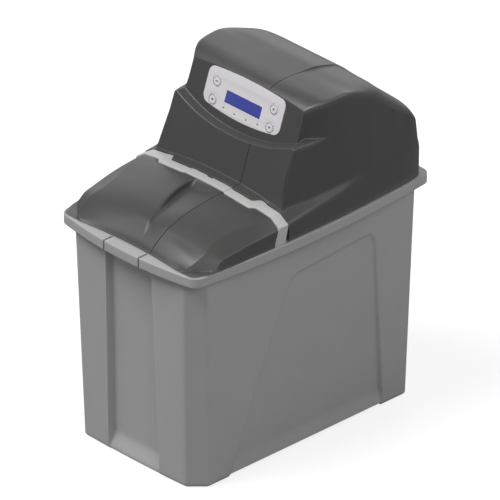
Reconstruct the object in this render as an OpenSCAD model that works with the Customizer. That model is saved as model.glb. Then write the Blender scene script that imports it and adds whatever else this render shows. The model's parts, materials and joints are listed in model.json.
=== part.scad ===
// Cabinet water softener: a brine tub with a salt lid in front, and a resin tank
// with its control valve under a lift-off hood behind. Millimetres, +Z up,
// front towards -Y, origin under the middle of the tub.

/* [Tub] */
// Height of the tub from the floor to the top of its rim
tub_h = 360; // [330:1:390]
// Half width of the tub's wall just under the rim
tub_half_w = 132.5; // [128:0.5:138]
// Half depth of the tub's wall just under the rim
tub_half_d = 226; // [222:0.5:230]
// How far the foot is drawn in on each side
tub_draft_x = 7.5; // [4:0.5:9]
// How far the foot is drawn in at the front and back
tub_draft_y = 10; // [6:0.5:12]
// Radius of the tub's upright corners
tub_corner_r = 24; // [18:1:30]
// Wall of the tub
tub_wall = 4; // [3:0.5:5]
// Floor of the tub
tub_floor = 4; // [3:0.5:6]
// Height of the feet under the floor
foot_h = 5; // [3:0.5:8]
// Front end of the gap between the feet
foot_front_y = -155; // [-170:1:-140]
// Back end of the gap between the feet
foot_back_y = 150; // [140:1:165]
// Depth of the side recess at the floor
side_recess = 6; // [3:0.5:8]
// Height of the side recess
side_recess_h = 292; // [260:1:310]
// Depth of the front recess
front_recess = 7; // [4:0.5:9]
// Half width of the front recess at its foot
front_recess_half_w = 52; // [44:1:60]

/* [Rim] */
// Height of the rim
rim_h = 16; // [12:1:20]
// Half width of the rim at its corners
rim_half_w = 143.5; // [141:0.5:146]
// Half depth of the rim at its corners
rim_half_d = 236; // [234:0.5:240]
// How far the rim's sides bow out
rim_bow_side = 11; // [9:0.5:13]
// How far the rim's front bows out
rim_bow_front = 12; // [8:0.5:14]
// Wall of the rim
rim_wall = 4; // [3:0.5:5]
// Distance of each latch slit from the middle
slit_x = 36; // [28:1:44]
// Width of each latch slit
slit_w = 3.5; // [2:0.5:5]

/* [Covers] */
// Wall of the lid and the hood
cover_wall = 2.5; // [2:0.1:3]
// Height of the lid's top above the rim
lid_rise = 45.4; // [42:0.1:48]
// Height of the hood's roof above the rim
hood_rise = 187; // [184:1:190]
// Gap under the lid and the hood where they sit on the rim
seat_gap = 0.2; // [0.1:0.05:0.3]
// Gap between the covers and the strap
cover_gap = 0.8; // [0.6:0.1:1]
// How far the strap stands proud of the lid
strap_proud = 2.9; // [2:0.1:4]
// Thickness of the strap
strap_t = 4.5; // [4:0.1:5]
// Front edge of the strap's middle
strap_front_y = -83.9; // [-86:0.1:-82]
// Width of the strap
strap_w = 18; // [16:0.5:20]
// How far the strap's ends are set back from its middle
strap_jog = 6; // [4:0.5:7]
// Where the strap's middle ends on each side
strap_jog_x = 88; // [84:1:96]
// Depth of the lid's scoop beside the strap
scoop_depth = 14; // [8:0.5:16]

/* [Lid hinge] */
// Radius of the lid's rear edge about the hinge line
hinge_edge_r = 4; // [3.8:0.1:5]
// Radius of the hinge pins
hinge_pin_r = 1.25; // [1:0.05:1.5]
// Outer radius of the strap's hinge ears
hinge_ear_r = 2.7; // [2.4:0.1:3]
// Width of each hinge ear
hinge_ear_w = 8; // [6:0.5:12]
// Distance of each hinge ear from the middle
hinge_ear_x = 70; // [50:1:78]

/* [Control panel] */
// Half width of the control panel
panel_half_w = 79; // [74:0.5:84]
// Height of the control panel in its own plane
panel_h = 64.5; // [60:0.5:66]
// Thickness of the control panel
panel_t = 2.2; // [1.8:0.1:3]
// How far the control panel stands proud of the hood
panel_proud = 0.8; // [0.4:0.1:1.2]
// Radius of each key
key_r = 8.2; // [7:0.1:8.4]
// Travel of each key
key_travel = 0.7; // [0.4:0.1:1]
// Distance of the keys from the middle
key_x = 59; // [54:0.5:62]
// Width of the display window
window_w = 72; // [64:0.5:80]
// Height of the display window
window_h = 18; // [14:0.5:22]
// Gap around the pieces set into the panel
panel_gap = 0.3; // [0.2:0.05:0.5]

/* [Resin tank] */
// Radius of the resin tank
tank_r = 100; // [94:0.5:103]
// Distance from the tub's back wall to the tank's axis
tank_back = 126; // [122:1:128]
// Height of the tank's neck above the tub's rim
neck_rise = 32; // [28:1:36]
// Height of the tank's rounded ends
tank_dome_h = 48; // [40:1:52]
// Wall of the tank
tank_wall = 3; // [2.5:0.5:4]
// Radius of the tank's neck
neck_r = 40; // [38:0.5:44]
// Radius of the neck's opening
neck_bore_r = 31.5; // [30:0.5:33]
// Height of the neck
neck_h = 20; // [16:1:24]
// Outer radius of the riser tube
riser_r = 13.35; // [12:0.05:16]
// Wall of the riser tube
riser_wall = 2; // [1.5:0.1:2.5]
// Height of the resin below the tank's neck
resin_drop = 138; // [115:1:190]

/* [Valve] */
// Half width of the valve block
valve_half_w = 48; // [44:1:52]
// Depth of the valve block
valve_d = 95; // [90:1:100]
// Height of the valve block
valve_block_h = 48; // [44:1:52]
// Distance of each port from the middle
port_x = 32; // [30:0.5:34]
// Outer radius of the ports
port_r = 16; // [15:0.5:17]
// Bore of the ports
port_bore_r = 11; // [10:0.5:12]
// Radius of the port disc
disc_r = 35; // [30:0.5:38]
// Radius of the drive shaft
shaft_r = 5; // [4:0.5:6]
// Module of the gear teeth
gear_module = 1.5; // [1.5:0.25:1.5]
// Teeth on the drive gear
gear_teeth = 48; // [44:4:52]
// Teeth on the motor pinion
pinion_teeth = 12; // [12:1:14]
// Thickness of the drive gear
gear_t = 8; // [6:0.5:10]
// Radius of the drive motor
motor_r = 20; // [17:0.5:22]
// Height of the drive motor
motor_h = 26; // [20:1:30]

/* [Bypass] */
// Radius of the inlet and outlet threads
stub_r = 13.22; // [12:0.01:14]
// Length of the inlet and outlet threads
stub_l = 16; // [12:1:18]
// Half width of the bypass body
bypass_half_w = 52; // [50:1:54]
// Depth of the bypass body
bypass_d = 46; // [42:1:48]
// Height of the bypass body
bypass_h = 32; // [30:1:34]
// Radius of each handle's stem
handle_stem_r = 7; // [6:0.5:8]
// Length of each bypass handle
handle_l = 42; // [34:1:42]
// Radius of the drain barb
drain_barb_r = 6.4; // [5.5:0.1:7]
// Radius of the overflow barb
overflow_barb_r = 6.75; // [5.5:0.05:7.5]

/* [Brine side] */
// Radius of the brine well
well_r = 36; // [33:0.5:38]
// Wall of the brine well
well_wall = 2.5; // [2:0.5:3]
// Distance of the brine well's top below the rim
well_drop = 26; // [20:1:40]
// Distance of the well's axis left of the middle
well_x = 66; // [62:0.5:68]
// Distance of the well's axis in front of the middle
well_y = 38; // [34:0.5:40]
// Outer radius of the brine line
line_r = 4.76; // [4:0.02:5]
// Radius of the brine line's bend
line_bend_r = 20; // [16:1:24]
// Radius of the float
float_r = 12; // [10:0.5:12.5]
// Height of the float
float_h = 50; // [40:1:60]
// Travel of the float
float_travel = 20; // [10:1:30]
// Height of the salt grid above the tub's floor
grid_h = 58; // [40:1:80]
// Thickness of the salt grid
grid_t = 5; // [4:0.5:7]

/* [Hidden] */
$fn = 48;
eps = 0.01;
big = 600;
running = 0.05;
fit_gap = 0.3;

// Heights that other pieces are placed from
floor_z = foot_h + tub_floor;
rim_z = tub_h - rim_h;
seat_z = tub_h + seat_gap;
lid_top_z = tub_h + lid_rise;
plateau_z = lid_top_z + strap_proud;
roof_z = tub_h + hood_rise;

// Hinge line of the lid
hinge_y = strap_front_y - cover_gap - hinge_edge_r;
hinge_z = lid_top_z - hinge_edge_r;
strap_back_y = strap_front_y + strap_w;

// Display plane: it leans back by panel_lean and passes through panel_y at panel_z
panel_slope = 0.35;
panel_lean = atan(panel_slope);
crease_y = 7.8;
crease_z = roof_z - 7;
panel_z = crease_z - 31.2;
panel_y = crease_y - panel_slope * (crease_z - panel_z);
panel_floor = panel_proud - panel_t;
hood_skin = 3;
board_n = -12.4;
board_t = 1.6;
board_half_w = 75;
board_half_h = 24;
post_x = 70;
post_v = 20;
post_r = 3.5;
board_screw_r = 1.2;
key_v = [9.2, -18.6];
window_v = -5.4;
switch_r = 3;
key_stem_r = 2.5;
key_proud = 0.6;
key_cap_t = 1.6;

// Resin tank levels
base_t = 5;
tank_y = tub_half_d - tank_back;
tank_bottom_z = floor_z + base_t;
tank_low_z = tank_bottom_z + tank_dome_h;
neck_z = tub_h + neck_rise;
tank_high_z = neck_z - neck_h - tank_dome_h;
resin_top_z = neck_z - resin_drop;

// Valve levels, from the neck up
flange_t = 12;
block_z = neck_z + flange_t;
block_top_z = block_z + valve_block_h;
block_back_y = tank_y + 50;
block_front_y = block_back_y - valve_d;
port_z = block_z + 24;
chamber_h = 14;
chamber_top_z = block_top_z + chamber_h;
chamber_r = disc_r + 7.5;
cap_t = 6;
cap_top_z = chamber_top_z + cap_t;
disc_t = 12;
gear_z = cap_top_z + 2;
gear_r = gear_module * gear_teeth / 2;
pinion_r = gear_module * pinion_teeth / 2;
pinion_y = tank_y - gear_r - pinion_r;
bracket_z = gear_z + gear_t + 6;
bracket_t = 3;
bracket_post_x = 40;
motor_shaft_r = 2.5;
cap_screw_r = 1.5;
cap_screw_count = 6;
cap_screw_at = disc_r + 3.6;

// Ports and bypass behind the valve
port_l = 18;
port_end_y = block_back_y + port_l;
bypass_y = port_end_y + 8;
bypass_back_y = bypass_y + bypass_d;
stub_root_l = 10;
stub_end_y = bypass_back_y + stub_root_l + stub_l;
handle_y = bypass_y + bypass_d / 2;
nut_r = 20.5;
spigot_r = port_bore_r - 0.3;
notch_left = 62;
notch_right = 80;
notch_top_z = port_z + 38;
drain_x = 66;
drain_y = tank_y;
drain_r = 8;
drain_barb_l = 26;
drain_end_y = stub_end_y - 8;
jack_x = -77;
jack_z = tub_h + 40;
jack_r = 6;
jack_bore_r = 2.75;
jack_seat_y = 219;
plate_left = 90;
plate_top_z = tub_h + 66;
plate_t = 3;

// Overflow through the back wall
overflow_x = -75;
overflow_z = tub_h - 48;
overflow_r = 10;
overflow_pad_y = tub_half_d + 1;
overflow_pad_r = 20;
overflow_pad_t = 10;
overflow_out = 11.6;
nut_t = 8;

// Brine well and its fittings
well_bottom_z = floor_z;
well_top_z = tub_h - well_drop;
well_h = well_top_z - well_bottom_z;
cap_plate_t = 3;
cap_skirt = 12;
pipe_r = 6;
valve_can_r = 14;
valve_can_z = well_bottom_z + 36;
valve_can_h = 40;
line_start_z = well_top_z + 12;
line_z = port_z - 3;
line_end_y = block_front_y + 8;
elbow_y = block_front_y + 20;
rod_r = 2.5;
rod_x = 20;
rod_top_z = well_top_z - 40;
arm_t = 8;
grid_z = floor_z + grid_h;
grid_half_w = tub_half_w - 19.5;
grid_front_y = 23 - tub_half_d;
grid_back_y = tank_y - 35;
leg_r = 8;
leg_y = [grid_front_y + 18, grid_front_y + 103];

// Wall positions of the tub at height z
function tub_x(z) = tub_half_w - tub_draft_x * (1 - z / rim_z);
function tub_y(z) = tub_half_d - tub_draft_y * (1 - z / rim_z);

// Rounded rectangle whose sides bow out, as one closed ring at height z
function bowed(hx, hy, r, bow_x, bow_f, bow_b, z) = [
  for (q = [0:3]) let (sx = q == 0 || q == 3 ? 1 : -1, sy = q < 2 ? 1 : -1)
    each concat(
      [for (i = [0:5]) let (a = q * 90 + i * 18)
        bow_point([sx * (hx - r) + r * cos(a), sy * (hy - r) + r * sin(a)], hx, hy, bow_x, bow_f, bow_b, z)],
      [for (i = [1:7]) let (t = i / 8, n = q + 1,
          p = q == 0 ? [(hx - r) * (1 - 2 * t), hy] : q == 1 ? [-hx, (hy - r) * (1 - 2 * t)]
            : q == 2 ? [-(hx - r) * (1 - 2 * t), -hy] : [hx, -(hy - r) * (1 - 2 * t)])
        bow_point(p, hx, hy, bow_x, bow_f, bow_b, z)])];
function bow_point(p, hx, hy, bow_x, bow_f, bow_b, z) =
  let (u = p[0] / hx, v = p[1] / hy, bow_y = p[1] < 0 ? bow_f : bow_b)
  [p[0] + bow_x * u * (1 - v * v), p[1] + bow_y * v * (1 - u * u), z];

// Solid through a stack of closed rings with the same number of points
module loft(rings) {
  n = len(rings[0]);
  m = len(rings);
  polyhedron(
    points = [for (ring = rings) each ring],
    faces = concat(
      [[for (i = [0:n - 1]) i]],
      [for (k = [0:m - 2], i = [0:n - 1]) let (j = (i + 1) % n, a = k * n, b = a + n)
        each [[a + i, b + i, b + j], [a + i, b + j, a + j]]],
      [[for (i = [n - 1:-1:0]) (m - 1) * n + i]]));
}

// Shell between an outer and an inner grid of points, closed along its four edges
module shell(outer, inner) {
  m = len(outer);
  n = len(outer[0]);
  size = m * n;
  polyhedron(
    points = concat([for (row = outer) each row], [for (row = inner) each row]),
    faces = concat(
      [for (k = [0:m - 2], i = [0:n - 2]) let (a = k * n + i, b = a + n)
        each [[a, b, b + 1], [a, b + 1, a + 1]]],
      [for (k = [0:m - 2], i = [0:n - 2]) let (a = size + k * n + i, b = a + n)
        each [[a, b + 1, b], [a, a + 1, b + 1]]],
      [for (i = [0:n - 2]) let (a = i, b = size + i)
        each [[a, b + 1, b], [a, a + 1, b + 1]]],
      [for (i = [0:n - 2]) let (a = size - n + i, b = a + size)
        each [[a, b, b + 1], [a, b + 1, a + 1]]],
      [for (k = [0:m - 2]) let (a = k * n, b = a + size)
        each [[a, b + n, a + n], [a, b, b + n]]],
      [for (k = [0:m - 2]) let (a = k * n + n - 1, b = a + size)
        each [[a, a + n, b + n], [a, b + n, b]]]));
}

// Value between two others
function between(a, b, t) = a + (b - a) * t;

// Side recess of the tub, grown by g to leave its wall behind it
module side_recess_cut(g) {
  top_x = tub_x(side_recess_h) - 1.2;
  foot_x = tub_x(0) - side_recess;
  lean = atan((top_x - foot_x) / side_recess_h);
  for (s = [0, 1]) mirror([s, 0, 0])
    translate([foot_x - g, 0, 0]) rotate([0, lean, 0]) rotate([90, 0, 90]) linear_extrude(40)
      polygon([[foot_front_y - g, -1], [foot_back_y + g, -1], [128 + g, side_recess_h - 8],
        [120 + g / 2, side_recess_h + 5 + g], [105, side_recess_h + 6 + g], [-26, side_recess_h - 2 + g],
        [-38 - g / 2, side_recess_h - 8 + g], [-46 - g, side_recess_h - 20]]);
}

// Front recess of the tub, grown by g
module front_recess_cut(g) {
  lean = atan(tub_draft_y / rim_z);
  translate([0, -tub_y(0) + front_recess + g, 0]) rotate([90 + lean, 0, 0]) linear_extrude(40)
    polygon([[-front_recess_half_w - g, -20], [front_recess_half_w + g, -20],
      [front_recess_half_w - 6 + g, rim_z - 2 + g], [-front_recess_half_w + 6 - g, rim_z - 2 + g]]);
}

function tub_outline(z, inset) =
  bowed(tub_x(z) - inset, tub_y(z) - inset, tub_corner_r - inset, 0.5, 4, 1, z);
function rim_outline(z, inset) =
  bowed(rim_half_w - inset, rim_half_d - inset, tub_corner_r - inset, rim_bow_side, rim_bow_front, 0, z);

module tub() {
  color("lightgray") difference() {
    union() {
      difference() {
        union() {
          difference() {
            loft([tub_outline(0, 0), tub_outline(tub_h - 1.5, 0)]);
            side_recess_cut(0);
            front_recess_cut(0);
            translate([-big / 2, foot_front_y, -1]) cube([big, foot_back_y - foot_front_y, foot_h + 1]);
          }
          difference() {
            loft([rim_outline(rim_z, 0), rim_outline(tub_h - 3, 0), rim_outline(tub_h - 0.9, 0.9),
              rim_outline(tub_h, 3)]);
            loft([rim_outline(rim_z - 1, rim_wall), rim_outline(tub_h - rim_wall, rim_wall)]);
          }
        }
        difference() {
          loft([tub_outline(floor_z, tub_wall), tub_outline(tub_h + 1, tub_wall)]);
          side_recess_cut(tub_wall);
          front_recess_cut(tub_wall);
        }
      }
      overflow_pad();
    }
    for (s = [-1, 1]) translate([s * slit_x - slit_w / 2, -rim_half_d - rim_bow_front - 1, rim_z - 1])
      cube([slit_w, 20, rim_h + 2]);
    translate([overflow_x, 0, overflow_z]) rotate([-90, 0, 0]) cylinder(r = overflow_r + 0.2, h = big);
    for (s = [-1, 1]) translate([s * strap_screw_x, strap_screw_y, tub_h - 8])
      cylinder(r = strap_screw_r + 0.1, h = 30);
  }
}

// Flat pad for the overflow fitting
module overflow_pad() {
  translate([overflow_x, overflow_pad_y - overflow_pad_t, overflow_z]) rotate([-90, 0, 0])
    cylinder(r = overflow_pad_r, h = overflow_pad_t);
}

// Lid stations from front to back: y, top z above the rim, half widths of the top edge,
// shoulder and base, shoulder z above the rim, bow of the front edge
lid_stations = [
  [-231, 1.2, 96, 101, 104, 0.6, 6], [-230, 7.5, 108, 114, 117, 1.0, 6], [-225, 11.5, 117, 126, 129, 1.4, 5],
  [-218, 18, 119, 132, 137, 2.0, 4], [-210, 25, 119, 136, 142.5, 3.0, 3], [-200, 30, 119, 139.5, 145, 6.0, 2],
  [-190, 32.6, 119.3, 142, 145.8, 10, 0], [-180, 36, 121, 145, 146.4, 14, 0],
  [-170, 39, 123, 147, 147.2, 17, 0], [-150, 43, 127, 148.3, 148, 20.5, 0],
  [-130, 44.5, 130, 149, 148.6, 22.8, 0], [-110, 45.2, 131.5, 149.5, 149, 24.8, 0],
  [-96, 45.4, 132, 150, 149.3, 27, 0]];
// Share of a cover's half width at which its edge beside the strap steps back
jog_share = strap_jog_x / 132;
// Shares of the top edge's half width at which the lid has a column of points
lid_jog = jog_share + 0.016;
lid_columns = [-1, -0.8, -lid_jog - 0.008, -lid_jog + 0.008, -0.5, -0.3];
crest_x = -20;
seam_x = 40;
scoop_end_y = -91;

// Depth of the scoop at x and y: deepest right of its crest, running out at the seam
function scoop(x, y) = let (d = scoop_depth * min(1, max(0, (y + 214) / 90)), c = crest_line(y))
  x <= c || x >= seam_x || y > scoop_end_y ? 0 : d * min(1, (x - c) / 3) * (seam_x - x) / (seam_x - c);
function crest_line(y) = crest_x * min(1, max(0, (y + 214) / 90));

// Place across of a column: beside the strap's jog the inner side turns a wall further out
function lid_column(u, w, t) = u * w + (abs(abs(u) - lid_jog) < 0.01 ? sign(u) * t : -u * t);

// One row of lid points across, moved in by t
function lid_row(s, t, y, z, back) = let (
    c = crest_line(s[0]),
    foot_y = y - (back > 0 ? 1.3 : 0),
    side_y = y + (back > 0 ? strap_jog - 1 : 0),
    shoulder_z = tub_h + max(seat_gap, s[5] - t / 2),
    xs = concat([for (u = lid_columns) lid_column(u, s[2], t)],
      [c, c + 3, between(c + 3, seam_x, 0.5), seam_x],
      [for (u = [0.5, lid_jog - 0.008, lid_jog + 0.008, 0.8, 1]) lid_column(u, s[2], t)]))
  concat(
    [[-s[4] + t, foot_y, seat_z], [-s[3] + t, side_y, shoulder_z]],
    [for (x = xs) let (edge = abs(x) / s[2])
      [x, y + s[6] * (1 - pow(x / s[2], 2)) + (back > 0 && abs(x) > lid_jog * s[2] + t ? strap_jog - 1 : 0),
        tub_h + z - t - scoop(x, y) - 2 * pow(edge, 8) * min(1, z / 20)]],
    [[s[3] - t, side_y, shoulder_z], [s[4] - t, foot_y, seat_z]]);

function lid_grid(t) = let (last = lid_stations[len(lid_stations) - 1], r = hinge_edge_r - t)
  concat(
    [for (k = [0:len(lid_stations) - 1]) let (s = lid_stations[k])
      lid_row(s, t, s[0] + (k < 3 ? t : t * 0.4), k == 0 ? max(s[1], t + 0.4) : s[1], 0)],
    [for (a = [0:30:90]) lid_row(last, t, hinge_y + max(r, 1.3) * sin(a),
      lid_rise - hinge_edge_r + hinge_edge_r * cos(a) + (t > 0 ? 0.2 * sin(a) : 0), 1)],
    [lid_row(last, t, hinge_y + max(r, 1.3), lid_rise - hinge_edge_r - 4 + t, 1)]);

module salt_lid() {
  cheek_l = 4.5;
  color("dimgray") difference() {
    union() {
      shell(lid_grid(0), lid_grid(cover_wall));
      for (sx = [-1, 1], e = [-1, 1])
        translate([sx * hinge_ear_x + e * (hinge_ear_w / 2 + 0.6 + cheek_l / 2) - cheek_l / 2,
          hinge_y, hinge_z])
          rotate([0, 90, 0]) cylinder(r = hinge_edge_r - 0.3, h = cheek_l);
    }
    for (sx = [-1, 1]) translate([sx * hinge_ear_x, hinge_y, hinge_z]) {
      rotate([0, 90, 0]) translate([0, 0, -20]) cylinder(r = hinge_pin_r, h = 40);
      rotate([0, 90, 0]) translate([0, 0, -hinge_ear_w / 2 - 0.6])
        cylinder(r = hinge_ear_r + 0.25, h = hinge_ear_w + 1.2);
      translate([-hinge_ear_w / 2 - 0.6, -4, -20]) cube([hinge_ear_w + 1.2, 10, 20]);
      translate([-hinge_ear_w / 2 - 0.6, hinge_edge_r / 2, -5]) cube([hinge_ear_w + 1.2, 10, 15]);
    }
  }
}

// Hood stations from front to back. At each one: y and z on the middle line, y and z at the
// brow, half width of the brow, and the power that blends the two. z is above the rim.
hood_stations = [
  [strap_back_y + cover_gap, 46.5, strap_back_y + cover_gap + strap_jog, 44, 131, 2],
  [-50.2, 48.3, -55.7, 44.6, 132.3, 2],
  [-41.1, 75, -44.6, 75, 129.6, 2],
  [-31.3, 104, -23.6, 127, 122.5, 2.2],
  [-18.3, 106, -10.4, 128.5, 116, 2.2],
  [display_y(143), 143, display_y(151), 151, 115, 2.2],
  [crease_y, crease_z - tub_h, display_y(173), 173, 115, 2.2],
  [13, 182.8, 11.5, 177.5, 120, 2.2],
  [20, 185, 19.5, 181.5, 125.5, 2.2],
  [30, 186.5, 30, 185, 130.5, 2],
  [45, 187, 45, 186.5, 133.5, 2],
  [68, 187, 68, 187, 135, 2],
  [90, 187, 90, 182, 134, 8],
  [113, 182.5, 113, 170, 133, 10],
  [132, 176, 132, 157, 132.5, 10],
  [148, 166, 148, 143, 132, 10],
  [165, 151, 165, 128, 131.5, 10],
  [185, 134, 184, 114, 131, 10],
  [205, 116, 202, 103, 131, 10],
  [216, 101, 213, 92, 128.5, 8],
  [220.5, 82, 217.5, 78, 126.5, 6],
  [221.5, 42, 219.8, 40, 124.5, 4],
  [222.5, 24, 221.5, 20, 120.5, 4],
  [226, 11, 225, 8, 112, 4],
  [230, seat_gap, 229, seat_gap, 100, 4]];
hood_jog = jog_share - 0.016;
hood_columns = [-1, -0.93, -0.8, -hood_jog - 0.006, -hood_jog + 0.006, -0.45, -0.22, 0, 0.22, 0.45,
  hood_jog - 0.006, hood_jog + 0.006, 0.8, 0.93, 1];
brow_left = 6;
brow_right = 20;
function display_y(rise) = crease_y - panel_slope * (crease_z - tub_h - rise);

// Half widths of the hood's side at its foot, at the top of its skirt and where the wall starts
// to lean in, and the height of the skirt, all against y
foot_x = [[-66, 149.5], [-35, 150], [45, 150], [128, 146], [180, 143], [200, 140], [212, 137],
  [218, 132], [224.5, 119], [229, 103]];
skirt_rise = [[-66, 31], [117, 47], [230, 47]];
lean_x = [[-66, 131.5], [-57, 133], [0, 140], [60, 143], [117, 145], [150, 142.5], [190, 138.5],
  [205, 136], [213, 133.5], [218, 129], [229, 100]];
crease_x = [[-24, 124], [0, 127], [10, 129], [35, 134], [68, 137.5], [117, 138], [159, 132.5], [190, 128]];
crease_inset = [[-3, 11], [5, 12.5], [12, 9.8], [20, 5.5], [30, 2], [45, 0.8], [230, 0.8]];
crease_rise = 128;

// How far a station's points move back, as a share of the wall, for the inner side
function wall_shift(k) = k < 7 ? 1.05 : k < 9 ? 0.6 : k < 12 ? 0 : k < 17 ? -0.5 : -1;

// One side of the hood at station s from its foot to its brow, as half width and rise, moved in by t
function hood_side(s, t) = let (y = s[2], w = s[4], top = s[3],
    foot = [lookup(y, foot_x), 0], skirt = [lookup(y, foot_x) + 0.5, lookup(y, skirt_rise)],
    lean = [lookup(y, lean_x), skirt[1] + 11], brow = [w, top], cx = lookup(y, crease_x),
    side = top > crease_rise + 4
      ? [foot, skirt, lean, [between(lean[0], cx, 0.5), between(lean[1], crease_rise, 0.5)],
        [cx, crease_rise - 1.5], [cx - lookup(y, crease_inset), crease_rise + 1.5]]
      : top > crease_rise - 3
      ? [foot, skirt, lean, [between(lean[0], cx, 0.5), between(lean[1], top - 2, 0.5)],
        [cx, top - 2], [w + 0.7, top - 0.6]]
      : top > skirt[1] + 20
      ? [foot, skirt, lean, between(lean, brow, 0.35), between(lean, brow, 0.65), between(lean, brow, 0.85)]
      : [for (u = [0, 0.5, 0.7, 0.8, 0.88, 0.95]) [between(foot[0], w, pow(u, 3)), between(0, top, u)]])
  [for (i = [0:5]) [side[i][0] - t, max(seat_gap, side[i][1] - (i == 0 ? 0 : t * min(1, top / 40)))]];

// One ring across the hood at station k, from the left foot over the top to the right foot
function hood_ring(k, t) = let (s = hood_stations[k], side = hood_side(s, t), top_t = t * min(1, s[3] / 40),
    shift = k == 0 ? 0 : t * wall_shift(k), y = s[2] + shift)
  concat(
    [for (p = side) [-p[0], y, tub_h + p[1]]],
    [for (u = hood_columns) let (b = pow(abs(u), s[5]), x = u * (s[4] - t))
      [x, shift + (k > 0 ? between(s[0], s[2], b) : abs(u) < hood_jog ? s[0] : s[2]),
        tub_h + between(s[1] - top_t, s[3] - top_t, b)]],
    [for (i = [5:-1:0]) [side[i][0], y, tub_h + side[i][1]]]);
function hood_grid(t) = [for (k = [0:len(hood_stations) - 1]) hood_ring(k, t)];

// Moves its children into the plane of the display: x across, y up the slope, z out of the hood
module panel_frame() {
  translate([0, panel_y, panel_z]) rotate([90 - panel_lean, 0, 0]) children();
}

module key_holes(r, low, high) {
  for (sx = [-1, 1], v = key_v) translate([sx * key_x, v, low]) cylinder(r = r, h = high - low);
}

// Part of the hood's shell between two of its columns. The flanks meet the middle at the brow.
module hood_shell(low, high) {
  shell([for (row = hood_grid(0)) [for (i = [low:high]) row[i]]],
    [for (row = hood_grid(cover_wall)) [for (i = [low:high]) row[i]]]);
}

module hood_flank() {
  color("dimgray") hood_shell(brow_right, brow_right + brow_left);
}

module valve_hood() {
  color("dimgray") difference() {
    union() {
      hood_shell(brow_left, brow_right);
      panel_frame() for (sx = [-1, 1], sy = [-1, 1])
        translate([sx * post_x, sy * post_v, board_n]) cylinder(r = post_r, h = panel_floor - board_n - 0.2);
    }
    panel_frame() {
      translate([0, 0, panel_floor]) linear_extrude(10) panel_outline(panel_gap);
      key_holes(key_stem_r + panel_gap, -20, 5);
      translate([-window_w / 2 + 3, window_v - window_h / 2 + 2.5, -20])
        cube([window_w - 6, window_h - 5, 25]);
      for (sx = [-1, 1], sy = [-1, 1])
        translate([sx * post_x, sy * post_v, board_n - 1]) cylinder(r = board_screw_r, h = 8.5);
    }
    translate([-notch_left, tank_y, tub_h - 1])
      cube([notch_left + notch_right, big, notch_top_z - tub_h + 1]);
    translate([-plate_left, tank_y, tub_h - 1]) cube([plate_left, big, plate_top_z - tub_h + 1]);
  }
}

// Outline of the control panel: its top and bottom edges bow with the hood's brow and ledge
corner_r = 10;
function corner_drop(x) = let (d = abs(x) - (panel_half_w - corner_r))
  d > 0 ? corner_r - sqrt(max(0, corner_r * corner_r - d * d)) : 0;
module panel_outline(grow) {
  half = panel_h / 2;
  polygon(concat(
    [for (a = [-90:7.5:90]) let (x = panel_half_w * sin(a))
      [x * (1 + grow / panel_half_w), half - 4.2 * pow(x / panel_half_w, 2) - corner_drop(x) + grow]],
    [for (a = [90:-7.5:-90]) let (x = panel_half_w * sin(a))
      [x * (1 + grow / panel_half_w), -half + 7.5 * pow(x / panel_half_w, 2) + corner_drop(x) - grow]]));
}

module control_panel() {
  color("whitesmoke") panel_frame() difference() {
    translate([0, 0, panel_floor]) linear_extrude(panel_t) panel_outline(0);
    key_holes(key_r + panel_gap, -10, 10);
    translate([-window_w / 2 - panel_gap, window_v - window_h / 2 - panel_gap, -10])
      cube([window_w + 2 * panel_gap, window_h + 2 * panel_gap, 20]);
  }
}

module display_window() {
  color("royalblue") panel_frame()
    translate([-window_w / 2, window_v - window_h / 2, panel_floor])
      cube([window_w, window_h, panel_t - 0.3]);
}

module display_module() {
  color("slategray") panel_frame() {
    translate([-40, window_v - 13, board_n]) cube([80, 26, -board_n - hood_skin - 1]);
    translate([-window_w / 2 + 3.5, window_v - window_h / 2 + 3, board_n])
      cube([window_w - 7, window_h - 6, panel_floor - board_n - 0.2]);
  }
}

module control_board() {
  color("seagreen") panel_frame() {
    difference() {
      translate([-board_half_w, -board_half_h, board_n - board_t])
        cube([2 * board_half_w, 2 * board_half_h, board_t]);
      for (sx = [-1, 1], sy = [-1, 1])
        translate([sx * post_x, sy * post_v, board_n - 5]) cylinder(r = board_screw_r + 0.2, h = 10);
    }
    for (sx = [-1, 1], v = key_v) translate([sx * key_x, v, board_n]) cylinder(r = switch_r, h = 5);
    for (x = [-30:20:30]) translate([x - 6, 12, board_n - board_t - 9]) cube([12, 8, 9]);
  }
}

module board_screws() {
  color("silver") panel_frame() for (sx = [-1, 1], sy = [-1, 1])
    translate([sx * post_x, sy * post_v, board_n - board_t]) {
      translate([0, 0, -1.8]) cylinder(r = 2.4, h = 1.8);
      translate([0, 0, -1]) cylinder(r = board_screw_r, h = 8);
    }
}

// A key: its cap lies in the panel and its stem reaches through the hood to the switch
module key(sx, v) {
  color("gainsboro") panel_frame() translate([sx * key_x, v, 0]) {
    translate([0, 0, panel_proud + key_proud - key_cap_t]) cylinder(r = key_r, h = key_cap_t);
    translate([0, 0, board_n + 5 + key_travel + 0.1])
      cylinder(r = key_stem_r, h = panel_proud + key_proud - key_cap_t / 2 - board_n - 5 - key_travel - 0.1);
  }
}

// Power socket on the plate that closes the hood beside the pipes
module power_jack() {
  color("black") difference() {
    union() {
      translate([-plate_left + panel_gap, jack_seat_y - plate_t, tub_h + 1.5])
        cube([plate_left - notch_left, plate_t, plate_top_z - tub_h - 1.5 - panel_gap]);
      translate([jack_x, jack_seat_y - 15, jack_z]) rotate([-90, 0, 0]) cylinder(r = jack_r, h = 16);
      translate([jack_x, jack_seat_y, jack_z]) rotate([-90, 0, 0]) cylinder(r = jack_r + 2.8, h = 2.4);
    }
    translate([jack_x, jack_seat_y - 9, jack_z]) rotate([-90, 0, 0]) cylinder(r = jack_bore_r, h = 20);
  }
}

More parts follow.
